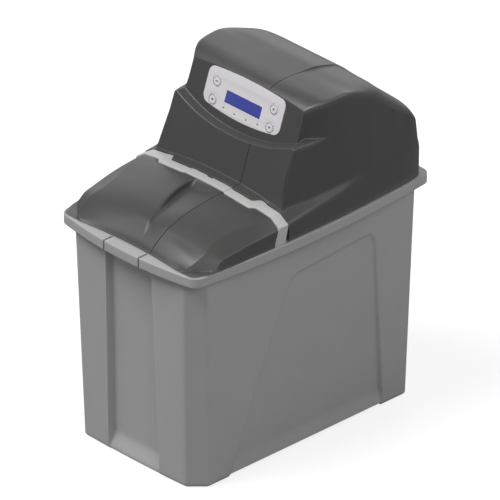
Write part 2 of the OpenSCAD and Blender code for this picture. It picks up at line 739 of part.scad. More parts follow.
// Section of the strap across the tub, drawn in X and Z
module strap_section() {
  t = strap_t;
  side = rim_half_w + 9;
  polygon([[side, tub_h], [side, tub_h + 32], [133.5, plateau_z - 2.3], [100, plateau_z], [-100, plateau_z],
    [-133.5, plateau_z - 2.3], [-side, tub_h + 32], [-side, tub_h], [t - side, tub_h], [t - side, tub_h + 30],
    [-131.5, plateau_z - 2.3 - t], [-100, plateau_z - t], [100, plateau_z - t],
    [131.5, plateau_z - 2.3 - t], [side - t, tub_h + 30], [side - t, tub_h]]);
}
strap_screw_x = 139;
strap_screw_y = strap_front_y + 13;
strap_screw_r = 2;

module hinge_strap() {
  ear_low = hinge_z - 9.5;
  color("silver") difference() {
    union() {
      intersection() {
        rotate([90, 0, 0]) translate([0, 0, -big / 2]) linear_extrude(big) strap_section();
        union() {
          translate([-strap_jog_x, strap_front_y, 0]) cube([2 * strap_jog_x, strap_w, big]);
          for (s = [0, 1]) mirror([s, 0, 0]) rotate([90, 0, 90]) translate([0, 0, strap_jog_x - eps])
            linear_extrude(big) polygon([[strap_front_y - 1.2, tub_h], [strap_back_y + 4.8, tub_h],
              [strap_back_y + strap_jog, tub_h + 31], [strap_back_y + strap_jog, big],
              [strap_front_y + strap_jog, big], [strap_front_y + strap_jog, tub_h + 31]]);
        }
      }
      for (s = [-1, 1]) translate([s * hinge_ear_x - hinge_ear_w / 2, 0, 0]) {
        translate([0, hinge_y, hinge_z]) rotate([0, 90, 0]) cylinder(r = hinge_ear_r, h = hinge_ear_w);
        translate([0, hinge_y - 1.4, ear_low]) cube([hinge_ear_w, 2.8, hinge_z - ear_low - 1]);
        translate([0, hinge_y - 1.4, ear_low]) cube([hinge_ear_w, strap_front_y - hinge_y + 6, 3]);
        translate([0, strap_front_y + 1, ear_low])
          cube([hinge_ear_w, 3.6, plateau_z - strap_t - ear_low + 1]);
      }
      for (s = [-1, 1]) translate([s * strap_screw_x - 7, strap_screw_y - 6, tub_h]) cube([14, 12, 4]);
    }
    for (s = [-1, 1]) translate([s * hinge_ear_x - 10, hinge_y, hinge_z]) rotate([0, 90, 0])
      cylinder(r = hinge_pin_r + running, h = 20);
    for (s = [-1, 1]) translate([s * strap_screw_x, strap_screw_y, tub_h - 5])
      cylinder(r = strap_screw_r + 0.1, h = 20);
  }
}

module hinge_pins() {
  l = hinge_ear_w + 11;
  color("silver") for (s = [-1, 1]) translate([s * hinge_ear_x - l / 2, hinge_y, hinge_z]) rotate([0, 90, 0])
    cylinder(r = hinge_pin_r, h = l);
}

module strap_screws() {
  color("silver") for (s = [-1, 1]) translate([s * strap_screw_x, strap_screw_y, 0]) {
    translate([0, 0, tub_h - 10]) cylinder(r = strap_screw_r, h = 15);
    translate([0, 0, tub_h + 4]) cylinder(r = 3.6, h = 2.6);
  }
}

// Outside of the resin tank at radius offset -t, as a section of r and z
function tank_profile(t) = concat(
  [for (a = [0:10:90]) [(tank_r - t) * sin(a), tank_low_z - (tank_dome_h - t) * cos(a)]],
  [for (a = [0:10:60]) [(tank_r - t) * cos(a), tank_high_z + (tank_dome_h - t) * sin(a)]]);

module resin_tank() {
  color("royalblue") translate([0, tank_y, 0]) rotate_extrude($fn = 96) difference() {
    union() {
      polygon(concat(tank_profile(0), [[neck_r, neck_z - neck_h + 6], [neck_r, neck_z], [0, neck_z]]));
    }
    polygon(concat(tank_profile(tank_wall), [[neck_bore_r, neck_z - neck_h], [neck_bore_r, neck_z + 1],
      [0, neck_z + 1]]));
  }
}

module tank_base() {
  color("black") translate([0, tank_y, 0]) rotate_extrude($fn = 96) difference() {
    translate([tank_r - 30, floor_z]) square([26, 34]);
    polygon(concat(tank_profile(-0.05), [[0, tank_high_z]]));
    translate([0, floor_z + 3]) square([tank_r - 26, 1]);
  }
}

module tank_tube(r, wall, low, high) {
  translate([0, tank_y, low]) difference() {
    cylinder(r = r, h = high - low);
    translate([0, 0, -1]) cylinder(r = r - wall, h = high - low + 2);
  }
}
strainer_h = 24;
strainer_r = 20;
strainer_seat = 1.2;
lower_strainer_z = tank_bottom_z + tank_wall + strainer_seat;
riser_low_z = lower_strainer_z + strainer_h;
upper_strainer_z = neck_z - neck_h - 32;
cage_r = neck_bore_r - 5.5;

module riser_tube() {
  color("white") tank_tube(riser_r, riser_wall, riser_low_z, block_z + 10);
}

module lower_strainer() {
  color("white") translate([0, tank_y, lower_strainer_z]) difference() {
    cylinder(r = strainer_r, h = strainer_h);
    translate([0, 0, 3]) cylinder(r = riser_r - riser_wall, h = strainer_h);
    for (a = [0:30:330]) rotate([0, 0, a]) translate([riser_r - 4, -1, 5]) cube([12, 2, strainer_h - 9]);
  }
}

module upper_strainer() {
  color("white") translate([0, tank_y, 0]) difference() {
    translate([0, 0, upper_strainer_z]) cylinder(r = cage_r, h = neck_z - 24 - upper_strainer_z);
    translate([0, 0, upper_strainer_z - 1]) cylinder(r = riser_r + fit_gap, h = big);
    translate([0, 0, upper_strainer_z + 3]) cylinder(r = cage_r - 3, h = big);
    for (a = [0:30:330]) rotate([0, 0, a]) translate([cage_r - 6, -1.5, upper_strainer_z + 6])
      cube([12, 3, 16]);
  }
}

module resin_bed() {
  gap = 0.2;
  color("goldenrod") translate([0, tank_y, 0]) rotate_extrude($fn = 96) difference() {
    intersection() {
      polygon(concat(tank_profile(tank_wall + gap), [[0, tank_high_z]]));
      translate([0, 0]) square([tank_r, resin_top_z]);
    }
    translate([-1, 0]) square([riser_r + gap + 1, big]);
    translate([-1, 0]) square([strainer_r + gap + 1, riser_low_z + gap]);
  }
}

module neck_seal() {
  color("black") translate([0, tank_y, neck_z + 1.6]) rotate_extrude() translate([35.5, 0])
    circle(r = 1.6, $fn = 32);
}

module valve_body() {
  color("dimgray") difference() {
    union() {
      translate([0, tank_y, neck_z - 24]) cylinder(r = neck_bore_r - fit_gap, h = 26);
      translate([0, tank_y, neck_z]) cylinder(r = 44, h = flange_t);
      translate([-valve_half_w, block_front_y, block_z]) cube([2 * valve_half_w, valve_d, valve_block_h]);
      translate([0, tank_y, block_top_z]) cylinder(r = chamber_r, h = chamber_h);
      for (s = [-1, 1]) translate([s * port_x, block_back_y, port_z]) rotate([-90, 0, 0])
        cylinder(r = port_r, h = port_l);
      for (s = [-1, 1]) translate([s * bracket_post_x, pinion_y, block_top_z]) {
        cylinder(r = 4, h = bracket_z - block_top_z);
      }
    }
    translate([0, tank_y, neck_z - 25]) cylinder(r = riser_r + fit_gap, h = 25 + flange_t + 10.3);
    translate([0, tank_y, neck_z - 25]) cylinder(r = 22, h = 20);
    translate([0, tank_y, neck_z - 1]) difference() {
      cylinder(r = 37.3, h = 4.3);
      cylinder(r = 33.7, h = 4.3);
    }
    translate([0, tank_y, chamber_top_z - disc_t]) cylinder(r = disc_r + fit_gap, h = disc_t + 1);
    for (s = [-1, 1]) translate([s * port_x, block_back_y - 20, port_z]) rotate([-90, 0, 0])
      cylinder(r = port_bore_r, h = 60);
    for (i = [0:cap_screw_count - 1]) rotate_about_tank(i * 360 / cap_screw_count + 30)
      translate([cap_screw_at, 0, chamber_top_z - 8]) cylinder(r = cap_screw_r, h = 10);
    for (s = [-1, 1]) translate([s * bracket_post_x, pinion_y, bracket_z - 8])
      cylinder(r = cap_screw_r, h = 10);
    translate([valve_half_w - 8, drain_y, port_z]) rotate([0, 90, 0]) cylinder(r = 4, h = 10);
    translate([-valve_half_w - 1, elbow_y, line_z]) rotate([0, 90, 0]) cylinder(r = 3, h = 10);
  }
  color("dimgray") for (a = [0, 90]) translate([port_x, block_back_y - 12, port_z]) rotate([-90, a, 0])
    difference() {
      translate([-port_bore_r - 0.5, -1.2, 0]) cube([2 * port_bore_r + 1, 2.4, 4]);
      translate([0, 0, -1]) cylinder(r = 1 + running, h = 6);
    }
}

module rotate_about_tank(a) {
  translate([0, tank_y, 0]) rotate([0, 0, a]) children();
}

module port_disc() {
  color("white") translate([0, tank_y, 0]) difference() {
    translate([0, 0, chamber_top_z - disc_t]) cylinder(r = disc_r, h = disc_t - 0.4);
    translate([0, 0, chamber_top_z - disc_t + 4]) cylinder(r = shaft_r, h = disc_t);
    for (a = [0:72:288]) rotate([0, 0, a]) translate([disc_r - 12, 0, chamber_top_z - disc_t - 1])
      cylinder(r = 4, h = disc_t + 2);
  }
}

module drive_shaft() {
  color("silver") translate([0, tank_y, chamber_top_z - disc_t + 4])
    cylinder(r = shaft_r, h = gear_z + gear_t + 3 - chamber_top_z + disc_t - 4);
}

module valve_cap() {
  color("dimgray") difference() {
    translate([0, tank_y, chamber_top_z]) cylinder(r = chamber_r, h = cap_t);
    translate([0, tank_y, chamber_top_z - 1]) cylinder(r = shaft_r + running, h = cap_t + 2);
    for (i = [0:cap_screw_count - 1]) rotate_about_tank(i * 360 / cap_screw_count + 30)
      translate([cap_screw_at, 0, chamber_top_z - 1]) {
        cylinder(r = cap_screw_r + 0.2, h = 10);
        translate([0, 0, 4]) cylinder(r = 2.8, h = 10);
      }
  }
}

module cap_screws() {
  color("silver") {
    for (i = [0:cap_screw_count - 1]) rotate_about_tank(i * 360 / cap_screw_count + 30)
      translate([cap_screw_at, 0, 0]) {
        translate([0, 0, chamber_top_z - 7]) cylinder(r = cap_screw_r, h = 11);
        translate([0, 0, chamber_top_z + 3]) cylinder(r = 2.6, h = 2.6);
      }
    for (s = [-1, 1]) translate([s * bracket_post_x, pinion_y, 0]) {
      translate([0, 0, bracket_z - 7]) cylinder(r = cap_screw_r, h = 11);
      translate([0, 0, bracket_z + bracket_t]) cylinder(r = 2.8, h = 2.4);
    }
  }
}

// Straight-flanked gear of n teeth with its bore, turned by phase teeth
module gear(n, h, bore, phase) {
  pitch = gear_module * n / 2;
  tip = pitch + 0.8 * gear_module;
  root = pitch - 1.2 * gear_module;
  step = 360 / n;
  difference() {
    linear_extrude(h) polygon([for (i = [0:n - 1], c = [[root, -0.3], [pitch, -0.22], [tip, -0.1], [tip, 0.1],
      [pitch, 0.22], [root, 0.3]]) let (a = (i + phase + c[1]) * step) [c[0] * cos(a), c[0] * sin(a)]]);
    translate([0, 0, -1]) cylinder(r = bore, h = h + 2);
  }
}

module drive_gear() {
  color("white") translate([0, tank_y, gear_z]) rotate([0, 0, -90]) gear(gear_teeth, gear_t, shaft_r, 0);
}

module motor_pinion() {
  color("white") translate([0, pinion_y, gear_z]) rotate([0, 0, 90])
    gear(pinion_teeth, gear_t, motor_shaft_r, 0.5);
  color("silver") translate([0, pinion_y, gear_z])
    cylinder(r = motor_shaft_r, h = bracket_z + bracket_t + 8 - gear_z);
}

module motor_bracket() {
  color("silver") difference() {
    translate([-bracket_post_x - 8, pinion_y - 14, bracket_z]) cube([2 * bracket_post_x + 16, 28, bracket_t]);
    translate([0, pinion_y, bracket_z - 1]) cylinder(r = 6, h = bracket_t + 2);
    for (s = [-1, 1]) translate([s * bracket_post_x, pinion_y, bracket_z - 1])
      cylinder(r = cap_screw_r + 0.2, h = bracket_t + 2);
  }
}

module drive_motor() {
  color("silver") difference() {
    translate([0, pinion_y, bracket_z + bracket_t]) cylinder(r = motor_r, h = motor_h);
    translate([0, pinion_y, bracket_z + bracket_t - 1]) cylinder(r = motor_shaft_r + running, h = 10);
  }
}

module injector_plug() {
  color("black") translate([-valve_half_w, block_front_y + 62, port_z]) rotate([0, -90, 0]) {
    cylinder(r = 11, h = 5);
    cylinder(r = 8, h = 11, $fn = 6);
  }
}

rotor_y = block_back_y - 7.6;
module meter_rotor() {
  color("white") translate([port_x, rotor_y, port_z]) rotate([-90, 0, 0]) {
    cylinder(r = 3, h = 8);
    translate([0, 0, -4]) cylinder(r = 1, h = 13);
    for (a = [0:60:300]) rotate([0, 0, a]) translate([2.5, -0.6, 0.6]) cube([port_bore_r - 3.1, 1.2, 6.8]);
  }
}

module port_nuts() {
  color("black") for (s = [-1, 1]) translate([s * port_x, port_end_y - 9, port_z]) rotate([-90, 0, 0])
    difference() {
      cylinder(r = nut_r, h = 17);
      translate([0, 0, -1]) cylinder(r = port_r + 0.1, h = 20);
      for (a = [0:20:340]) rotate([0, 0, a]) translate([nut_r + 0.5, 0, 2]) cylinder(r = 1.4, h = 20);
    }
}

module port_seals() {
  color("black") for (s = [-1, 1]) translate([s * port_x, port_end_y - 5, port_z]) rotate([-90, 0, 0])
    difference() {
      cylinder(r = port_bore_r - 0.05, h = 2);
      translate([0, 0, -1]) cylinder(r = spigot_r - 1.4, h = 4);
    }
}

module bypass_body() {
  color("dimgray") difference() {
    union() {
      translate([-bypass_half_w, bypass_y, port_z - bypass_h / 2])
        cube([2 * bypass_half_w, bypass_d, bypass_h]);
      for (s = [-1, 1]) translate([s * port_x, 0, port_z]) rotate([-90, 0, 0]) {
        translate([0, 0, port_end_y - 9]) cylinder(r = spigot_r, h = 20);
        translate([0, 0, bypass_back_y]) cylinder(r = stub_r + 3, h = stub_root_l);
        translate([0, 0, bypass_back_y]) cylinder(r = stub_r, h = stub_root_l + stub_l);
      }
    }
    for (s = [-1, 1]) translate([s * port_x, 0, port_z]) rotate([-90, 0, 0]) {
      translate([0, 0, port_end_y - 10]) cylinder(r = 8, h = 150);
      translate([0, 0, port_end_y - 5.1]) difference() {
        cylinder(r = spigot_r + 1, h = 2.2);
        cylinder(r = spigot_r - 1.5, h = 2.2);
      }
    }
    for (s = [-1, 1]) translate([s * port_x, handle_y, port_z - 10])
      cylinder(r = handle_stem_r + running, h = 40);
  }
}

module bypass_handle(s) {
  top_z = port_z + bypass_h / 2;
  color("firebrick") translate([s * port_x, handle_y, 0]) {
    difference() {
      translate([0, 0, port_z - 9.8]) cylinder(r = handle_stem_r, h = 12 + bypass_h / 2);
      translate([0, -20, port_z]) rotate([-90, 0, 0]) cylinder(r = 5.5, h = 40);
    }
    translate([0, 0, top_z + 0.2]) cylinder(r = 11, h = 6);
    translate([-handle_l / 2 + 5, -5, top_z + 2]) cube([handle_l - 10, 10, 10]);
    for (e = [-1, 1]) translate([e * (handle_l / 2 - 5), 0, top_z + 2]) cylinder(r = 5, h = 10);
  }
}

module drain_elbow() {
  color("dimgray") difference() {
    union() {
      translate([valve_half_w, drain_y, port_z]) rotate([0, 90, 0])
        cylinder(r = drain_r, h = drain_x - valve_half_w);
      translate([drain_x, drain_y, port_z]) sphere(r = drain_r);
      translate([drain_x, drain_y, port_z]) rotate([-90, 0, 0])
        cylinder(r = drain_r, h = drain_end_y - drain_barb_l - drain_y);
      translate([drain_x, drain_y, port_z]) rotate([-90, 0, 0])
        cylinder(r = drain_barb_r, h = drain_end_y - drain_y);
    }
    translate([drain_x, drain_y, port_z]) rotate([-90, 0, 0]) cylinder(r = 4, h = big);
    translate([0, drain_y, port_z]) rotate([0, 90, 0]) cylinder(r = 4, h = drain_x);
  }
}

module brine_elbow() {
  nut_y = line_end_y - 10;
  color("white") difference() {
    union() {
      translate([-well_x, elbow_y, line_z]) rotate([0, 90, 0]) cylinder(r = 7, h = well_x - valve_half_w);
      translate([-well_x, elbow_y, line_z]) sphere(r = 7);
      translate([-well_x, nut_y + 8, line_z]) rotate([-90, 0, 0]) cylinder(r = 7, h = elbow_y - nut_y - 8);
      translate([-well_x, nut_y, line_z]) rotate([-90, 0, 0]) cylinder(r = 8.5, h = 9);
    }
    translate([-well_x, nut_y - 1, line_z]) rotate([-90, 0, 0])
      cylinder(r = line_r, h = line_end_y - nut_y + 1);
    translate([-well_x, nut_y, line_z]) rotate([-90, 0, 0]) cylinder(r = 3, h = elbow_y - nut_y);
    translate([-well_x, elbow_y, line_z]) rotate([0, 90, 0]) cylinder(r = 3, h = 40);
  }
}

module brine_line() {
  color("white") translate([-well_x, -well_y, 0]) {
    difference() {
      translate([0, 0, line_start_z - 8]) cylinder(r = line_r, h = line_z - line_bend_r - line_start_z + 8);
      translate([0, 0, line_start_z - 9])
        cylinder(r = line_r - 1.5, h = line_z - line_bend_r - line_start_z + 10);
    }
    translate([0, line_bend_r, line_z - line_bend_r]) rotate([90, 0, -90])
      rotate_extrude(angle = 90) translate([line_bend_r, 0]) difference() {
        circle(r = line_r);
        circle(r = line_r - 1.5);
      }
    translate([0, line_bend_r, line_z]) rotate([-90, 0, 0]) difference() {
      cylinder(r = line_r, h = line_end_y + well_y - line_bend_r);
      translate([0, 0, -1]) cylinder(r = line_r - 1.5, h = 200);
    }
  }
}

module brine_well() {
  color("whitesmoke") translate([-well_x, -well_y, 0]) difference() {
    translate([0, 0, well_bottom_z]) cylinder(r = well_r, h = well_h);
    translate([0, 0, well_bottom_z - 1]) cylinder(r = well_r - well_wall, h = well_h + 2);
    for (a = [0:45:315]) rotate([0, 0, a]) translate([well_r - 6, -2, well_bottom_z + 8]) cube([12, 4, 36]);
  }
}

module brine_well_cap() {
  slot = line_r + 6;
  color("whitesmoke") translate([-well_x, -well_y, 0]) difference() {
    union() {
      translate([0, 0, well_top_z + seat_gap]) cylinder(r = well_r + 2, h = cap_plate_t);
      translate([0, 0, well_top_z - cap_skirt]) difference() {
        cylinder(r = well_r - well_wall - fit_gap, h = cap_skirt + 1);
        translate([0, 0, -1]) cylinder(r = well_r - well_wall - fit_gap - 2, h = cap_skirt + 3);
      }
    }
    translate([0, 0, well_top_z - 20]) cylinder(r = slot, h = 40);
  }
}

module safety_valve() {
  color("white") translate([-well_x, -well_y, 0]) difference() {
    union() {
      translate([0, 0, valve_can_z]) cylinder(r = valve_can_r, h = valve_can_h);
      for (a = [45:90:315]) rotate([0, 0, a]) translate([7, -1.5, well_bottom_z])
        cube([well_r - well_wall - 7.4, 3, valve_can_z - well_bottom_z + 2]);
      translate([0, 0, valve_can_z]) cylinder(r = pipe_r, h = line_start_z - 14 - valve_can_z);
      translate([0, 0, line_start_z - 16]) cylinder(r = 9, h = 16);
      translate([0, -4, valve_can_z + valve_can_h - arm_t - 0.01]) cube([rod_x + 6, 8, arm_t]);
      translate([0, -4, rod_top_z - 12]) cube([rod_x + 6, 8, arm_t]);
    }
    translate([0, 0, valve_can_z + 6]) cylinder(r = 3.2, h = big);
    translate([0, 0, line_start_z - 8]) cylinder(r = line_r, h = 20);
    translate([rod_x, 0, valve_can_z - 5]) cylinder(r = rod_r + running, h = big);
  }
}

module float_rod() {
  low_z = valve_can_z + valve_can_h - arm_t - 4;
  color("silver") translate([rod_x - well_x, -well_y, 0]) {
    translate([0, 0, low_z]) cylinder(r = rod_r, h = rod_top_z - low_z);
    for (z = [valve_can_z + valve_can_h + 0.2, rod_top_z - 16.2 - float_travel]) translate([0, 0, z])
      cylinder(r = 4.5, h = 4);
  }
}

module float() {
  low_z = valve_can_z + valve_can_h + 40;
  color("white") translate([rod_x - well_x, -well_y, low_z]) difference() {
    cylinder(r = float_r, h = float_h);
    translate([0, 0, -1]) cylinder(r = rod_r, h = float_h + 2);
  }
}

module salt_grid() {
  color("white") difference() {
    translate([-grid_half_w, grid_front_y, grid_z])
      cube([2 * grid_half_w, grid_back_y - grid_front_y, grid_t]);
    translate([0, tank_y, grid_z - 1]) cylinder(r = tank_r + 1, h = grid_t + 2);
    translate([-well_x, -well_y, grid_z - 1]) cylinder(r = well_r + 0.4, h = grid_t + 2);
    for (x = [-96:16:96], k = [0:2]) translate([x - 2.5, grid_front_y + 13 + 38 * k, grid_z - 1])
      cube([5, 30, grid_t + 2]);
    for (x = [-8:16:104]) translate([x - 2.5, grid_front_y + 131, grid_z - 1]) cube([5, 40, grid_t + 2]);
  }
}

module grid_legs() {
  color("white") for (x = [-88, 0, 88], y = leg_y) translate([x, y, floor_z]) difference() {
    cylinder(r = leg_r, h = grid_h);
    translate([0, 0, -1]) cylinder(r = leg_r - 2, h = grid_h - 2);
  }
}

module overflow_elbow() {
  color("dimgray") translate([overflow_x, overflow_pad_y, overflow_z]) difference() {
    union() {
      translate([0, 1.5, 0]) rotate([90, 0, 0]) cylinder(r = overflow_r, h = overflow_pad_t + nut_t + 4.5);
      rotate([-90, 0, 0]) cylinder(r = 15, h = 3);
      rotate([-90, 0, 0]) translate([0, 0, -4]) cylinder(r = 9, h = overflow_out + 4);
      translate([0, overflow_out, 0]) sphere(r = 9.4);
      translate([0, overflow_out, -12]) cylinder(r = 9, h = 12);
      translate([0, overflow_out, -34]) cylinder(r = overflow_barb_r, h = 30);
    }
    translate([0, overflow_out, 0]) rotate([90, 0, 0]) cylinder(r = 5, h = 80);
    translate([0, overflow_out, -40]) cylinder(r = 5, h = 40);
  }
}

module overflow_nut() {
  color("dimgray") translate([overflow_x, overflow_pad_y - overflow_pad_t, overflow_z]) rotate([90, 0, 0])
    difference() {
      cylinder(r = 16, h = nut_t, $fn = 6);
      translate([0, 0, -1]) cylinder(r = overflow_r, h = nut_t + 2);
    }
}

tub();
salt_lid();
hinge_pins();
hinge_strap();
strap_screws();
valve_hood();
mirror([1, 0, 0]) hood_flank();  // hood_flank_left
hood_flank();  // hood_flank_right
control_panel();
display_window();
display_module();
control_board();
board_screws();
key(-1, key_v[0]);  // key_upper_left
key(-1, key_v[1]);  // key_lower_left
key(1, key_v[0]);  // key_upper_right
key(1, key_v[1]);  // key_lower_right
power_jack();
resin_tank();
tank_base();
riser_tube();
lower_strainer();
upper_strainer();
resin_bed();
neck_seal();
valve_body();
port_disc();
drive_shaft();
valve_cap();
cap_screws();
drive_gear();
motor_bracket();
drive_motor();
motor_pinion();
injector_plug();
meter_rotor();
port_nuts();
port_seals();
bypass_body();
bypass_handle(-1);  // bypass_handle_left
bypass_handle(1);  // bypass_handle_right
drain_elbow();
brine_elbow();
brine_line();
brine_well();
brine_well_cap();
safety_valve();
float_rod();
float();
salt_grid();
grid_legs();
overflow_elbow();
overflow_nut();
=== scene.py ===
import json
import math

import bmesh
import bpy
import numpy as np
from mathutils import Matrix, Vector


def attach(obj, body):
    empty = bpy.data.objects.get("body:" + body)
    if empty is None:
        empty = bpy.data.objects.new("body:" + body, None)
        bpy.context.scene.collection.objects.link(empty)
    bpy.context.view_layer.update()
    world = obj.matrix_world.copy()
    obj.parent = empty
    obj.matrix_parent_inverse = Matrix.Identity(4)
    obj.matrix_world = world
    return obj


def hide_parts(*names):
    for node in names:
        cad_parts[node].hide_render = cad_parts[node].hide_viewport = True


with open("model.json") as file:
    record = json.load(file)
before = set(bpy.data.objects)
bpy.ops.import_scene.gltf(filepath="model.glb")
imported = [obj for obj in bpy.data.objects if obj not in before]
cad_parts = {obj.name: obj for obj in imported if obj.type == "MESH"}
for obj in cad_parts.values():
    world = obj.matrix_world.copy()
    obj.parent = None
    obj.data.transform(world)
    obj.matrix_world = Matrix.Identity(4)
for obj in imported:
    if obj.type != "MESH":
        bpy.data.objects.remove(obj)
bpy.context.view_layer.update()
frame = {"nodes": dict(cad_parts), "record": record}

MM = 0.001
TANK_Y = 100.0

# Camera, light and floor

AZIMUTH, ELEVATION = math.radians(46.34), math.radians(29.17)
LENS, SENSOR, CAMERA_FAR = 1200, 36, 24.12
FRAME_RIGHT, FRAME_UP = 0.00576, 0.22997
FLOOR_HALF, FLOOR_Z = 12, -0.0002
scene = bpy.context.scene
scene.view_settings.view_transform = "Standard"


def aim(obj, back):
    """Turns a camera or lamp so that it looks against the direction back."""
    obj.rotation_mode = "QUATERNION"
    obj.rotation_quaternion = back.to_track_quat("Z", "Y")


def make_camera():
    """A long lens far away, as the photograph has no perspective to speak of."""
    back = Vector((math.sin(AZIMUTH) * math.cos(ELEVATION), -math.cos(AZIMUTH) * math.cos(ELEVATION),
                   math.sin(ELEVATION)))
    right = Vector((math.cos(AZIMUTH), math.sin(AZIMUTH), 0))
    up = back.cross(right)
    camera = bpy.data.objects.new("camera", bpy.data.cameras.new("camera"))
    scene.collection.objects.link(camera)
    camera.data.lens = LENS
    camera.data.sensor_width = SENSOR
    camera.data.clip_end = 80
    camera.location = right * FRAME_RIGHT + up * FRAME_UP + back * CAMERA_FAR
    aim(camera, back)
    scene.camera = camera


def make_sun(name, direction, strength, angle):
    """A soft sun that shines from the given direction."""
    lamp = bpy.data.lights.new(name, "SUN")
    lamp.energy = strength
    lamp.angle = math.radians(angle)
    obj = bpy.data.objects.new(name, lamp)
    scene.collection.objects.link(obj)
    aim(obj, Vector(direction))


make_camera()
make_sun("key", (-0.25, -0.45, 0.86), 2.35, 30)
make_sun("fill", (0.72, -0.28, 0.63), 0.55, 25)
make_sun("right", (0.57, 0.60, 0.56), 0.5, 40)
make_sun("back", (-0.63, 0.72, 0.25), 0.85, 60)


def node(tree, kind, inputs=None, **settings):
    """Adds a shader node; inputs are values or sockets by name or number."""
    made = tree.nodes.new(kind)
    for key, value in settings.items():
        setattr(made, key, value)
    for key, value in (inputs or {}).items():
        if isinstance(value, bpy.types.NodeSocket):
            tree.links.new(value, made.inputs[key])
        else:
            made.inputs[key].default_value = value
    return made


def make_world():
    """Plain weak light all round, and white where the camera sees past the floor."""
    world = bpy.data.worlds.new("world")
    scene.world = world
    world.use_nodes = True
    tree = world.node_tree
    tree.nodes.clear()
    path = node(tree, "ShaderNodeLightPath")
    plain = node(tree, "ShaderNodeBackground", {"Color": (1, 1, 1, 1), "Strength": 0.22})
    white = node(tree, "ShaderNodeBackground", {"Color": (1, 1, 1, 1), "Strength": 1.0})
    mix = node(tree, "ShaderNodeMixShader", {0: path.outputs["Is Camera Ray"], 1: plain.outputs[0],
                                             2: white.outputs[0]})
    node(tree, "ShaderNodeOutputWorld", {"Surface": mix.outputs[0]})


def make_floor():
    """A pale floor that keeps the object's shadow."""
    material = bpy.data.materials.new("floor")
    material.use_nodes = True
    tree = material.node_tree
    tree.nodes.clear()
    path = node(tree, "ShaderNodeLightPath")
    grain = node(tree, "ShaderNodeTexNoise", {"Scale": 60.0, "Detail": 4.0})
    tone = node(tree, "ShaderNodeMapRange", {"Value": grain.outputs["Fac"], "To Min": 0.27, "To Max": 0.31})
    diffuse = node(tree, "ShaderNodeBsdfDiffuse", {"Color": tone.outputs[0]})
    glow = node(tree, "ShaderNodeEmission", {"Color": (1, 1, 1, 1), "Strength": 0.79})
    both = node(tree, "ShaderNodeAddShader", {0: diffuse.outputs[0], 1: glow.outputs[0]})
    mix = node(tree, "ShaderNodeMixShader", {0: path.outputs["Is Camera Ray"], 1: diffuse.outputs[0],
                                             2: both.outputs[0]})
    node(tree, "ShaderNodeOutputMaterial", {"Surface": mix.outputs[0]})
    mesh = bpy.data.meshes.new("floor")
    corners = ((-1, -1), (1, -1), (1, 1), (-1, 1))
    mesh.from_pydata([(x * FLOOR_HALF, y * FLOOR_HALF, FLOOR_Z) for x, y in corners], [], [(0, 1, 2, 3)])
    floor = bpy.data.objects.new("floor", mesh)
    scene.collection.objects.link(floor)
    floor.data.materials.append(material)


make_world()
make_floor()

# Materials


def make_material(name, color, rough, grain=900.0, bump=0.12, depth=0.00015, mottle=0.05, patch=14.0,
                  painted_edge_highlight=0.0, metallic=0.0, coat=0.0, stretch=(1, 1, 1), specular=0.5, extra=None):
    """Moulded or drawn surface: fine grain in the bump, slow drift in tone and gloss, and a painted highlight
    on convex edges.
    """
    material = bpy.data.materials.new(name)
    material.use_nodes = True
    tree = material.node_tree
    tree.nodes.clear()
    shader = node(tree, "ShaderNodeBsdfPrincipled", {"Metallic": metallic, "Coat Weight": coat,
                                                     "Coat Roughness": 0.08, "Specular IOR Level": specular})
    place_of = node(tree, "ShaderNodeTexCoord").outputs["Object"]
    where = node(tree, "ShaderNodeMapping", {"Vector": place_of, "Scale": stretch}).outputs[0]
    slow = node(tree, "ShaderNodeTexNoise", {"Vector": where, "Scale": patch, "Detail": 3.0})
    fine = node(tree, "ShaderNodeTexNoise", {"Vector": where, "Scale": grain, "Detail": 2.0,
                                             "Roughness": 0.6})
    tone = node(tree, "ShaderNodeMapRange", {"Value": slow.outputs["Fac"], "From Min": 0.3, "From Max": 0.7,
                                             "To Min": 1 - mottle, "To Max": 1 + mottle})
    speck = node(tree, "ShaderNodeMapRange", {"Value": fine.outputs["Fac"], "From Min": 0.3, "From Max": 0.7,
                                              "To Min": 0.97, "To Max": 1.03})
    level = node(tree, "ShaderNodeMath", {0: tone.outputs[0], 1: speck.outputs[0]},
                 operation="MULTIPLY").outputs[0]
    base = node(tree, "ShaderNodeVectorMath", {0: color, "Scale": level}, operation="SCALE").outputs[0]
    height = fine.outputs["Fac"]
    if extra:
        base, height = extra(tree, base, height, where)
    # Painted highlight: where pointiness marks a convex edge, the colour is mixed towards a lighter copy of
    # itself.
    if painted_edge_highlight:
        edge = node(tree, "ShaderNodeNewGeometry").outputs["Pointiness"]
        share = node(tree, "ShaderNodeMapRange", {"Value": edge, "From Min": 0.51, "From Max": 0.62,
                                                  "To Min": 0.0, "To Max": painted_edge_highlight})
        base = node(tree, "ShaderNodeMix", {0: share.outputs[0], 6: base,
                                            7: [min(1.0, 0.25 + 1.5 * c) for c in color] + [1]},
                    data_type="RGBA").outputs[2]
    gloss = node(tree, "ShaderNodeMapRange", {"Value": slow.outputs["Fac"], "From Min": 0.3, "From Max": 0.7,
                                              "To Min": rough - 0.04, "To Max": rough + 0.04})
    relief = node(tree, "ShaderNodeBump", {"Strength": bump, "Distance": depth, "Height": height})
    tree.links.new(base, shader.inputs["Base Color"])
    tree.links.new(gloss.outputs[0], shader.inputs["Roughness"])
    tree.links.new(relief.outputs[0], shader.inputs["Normal"])
    node(tree, "ShaderNodeOutputMaterial", {"Surface": shader.outputs[0]})
    return material


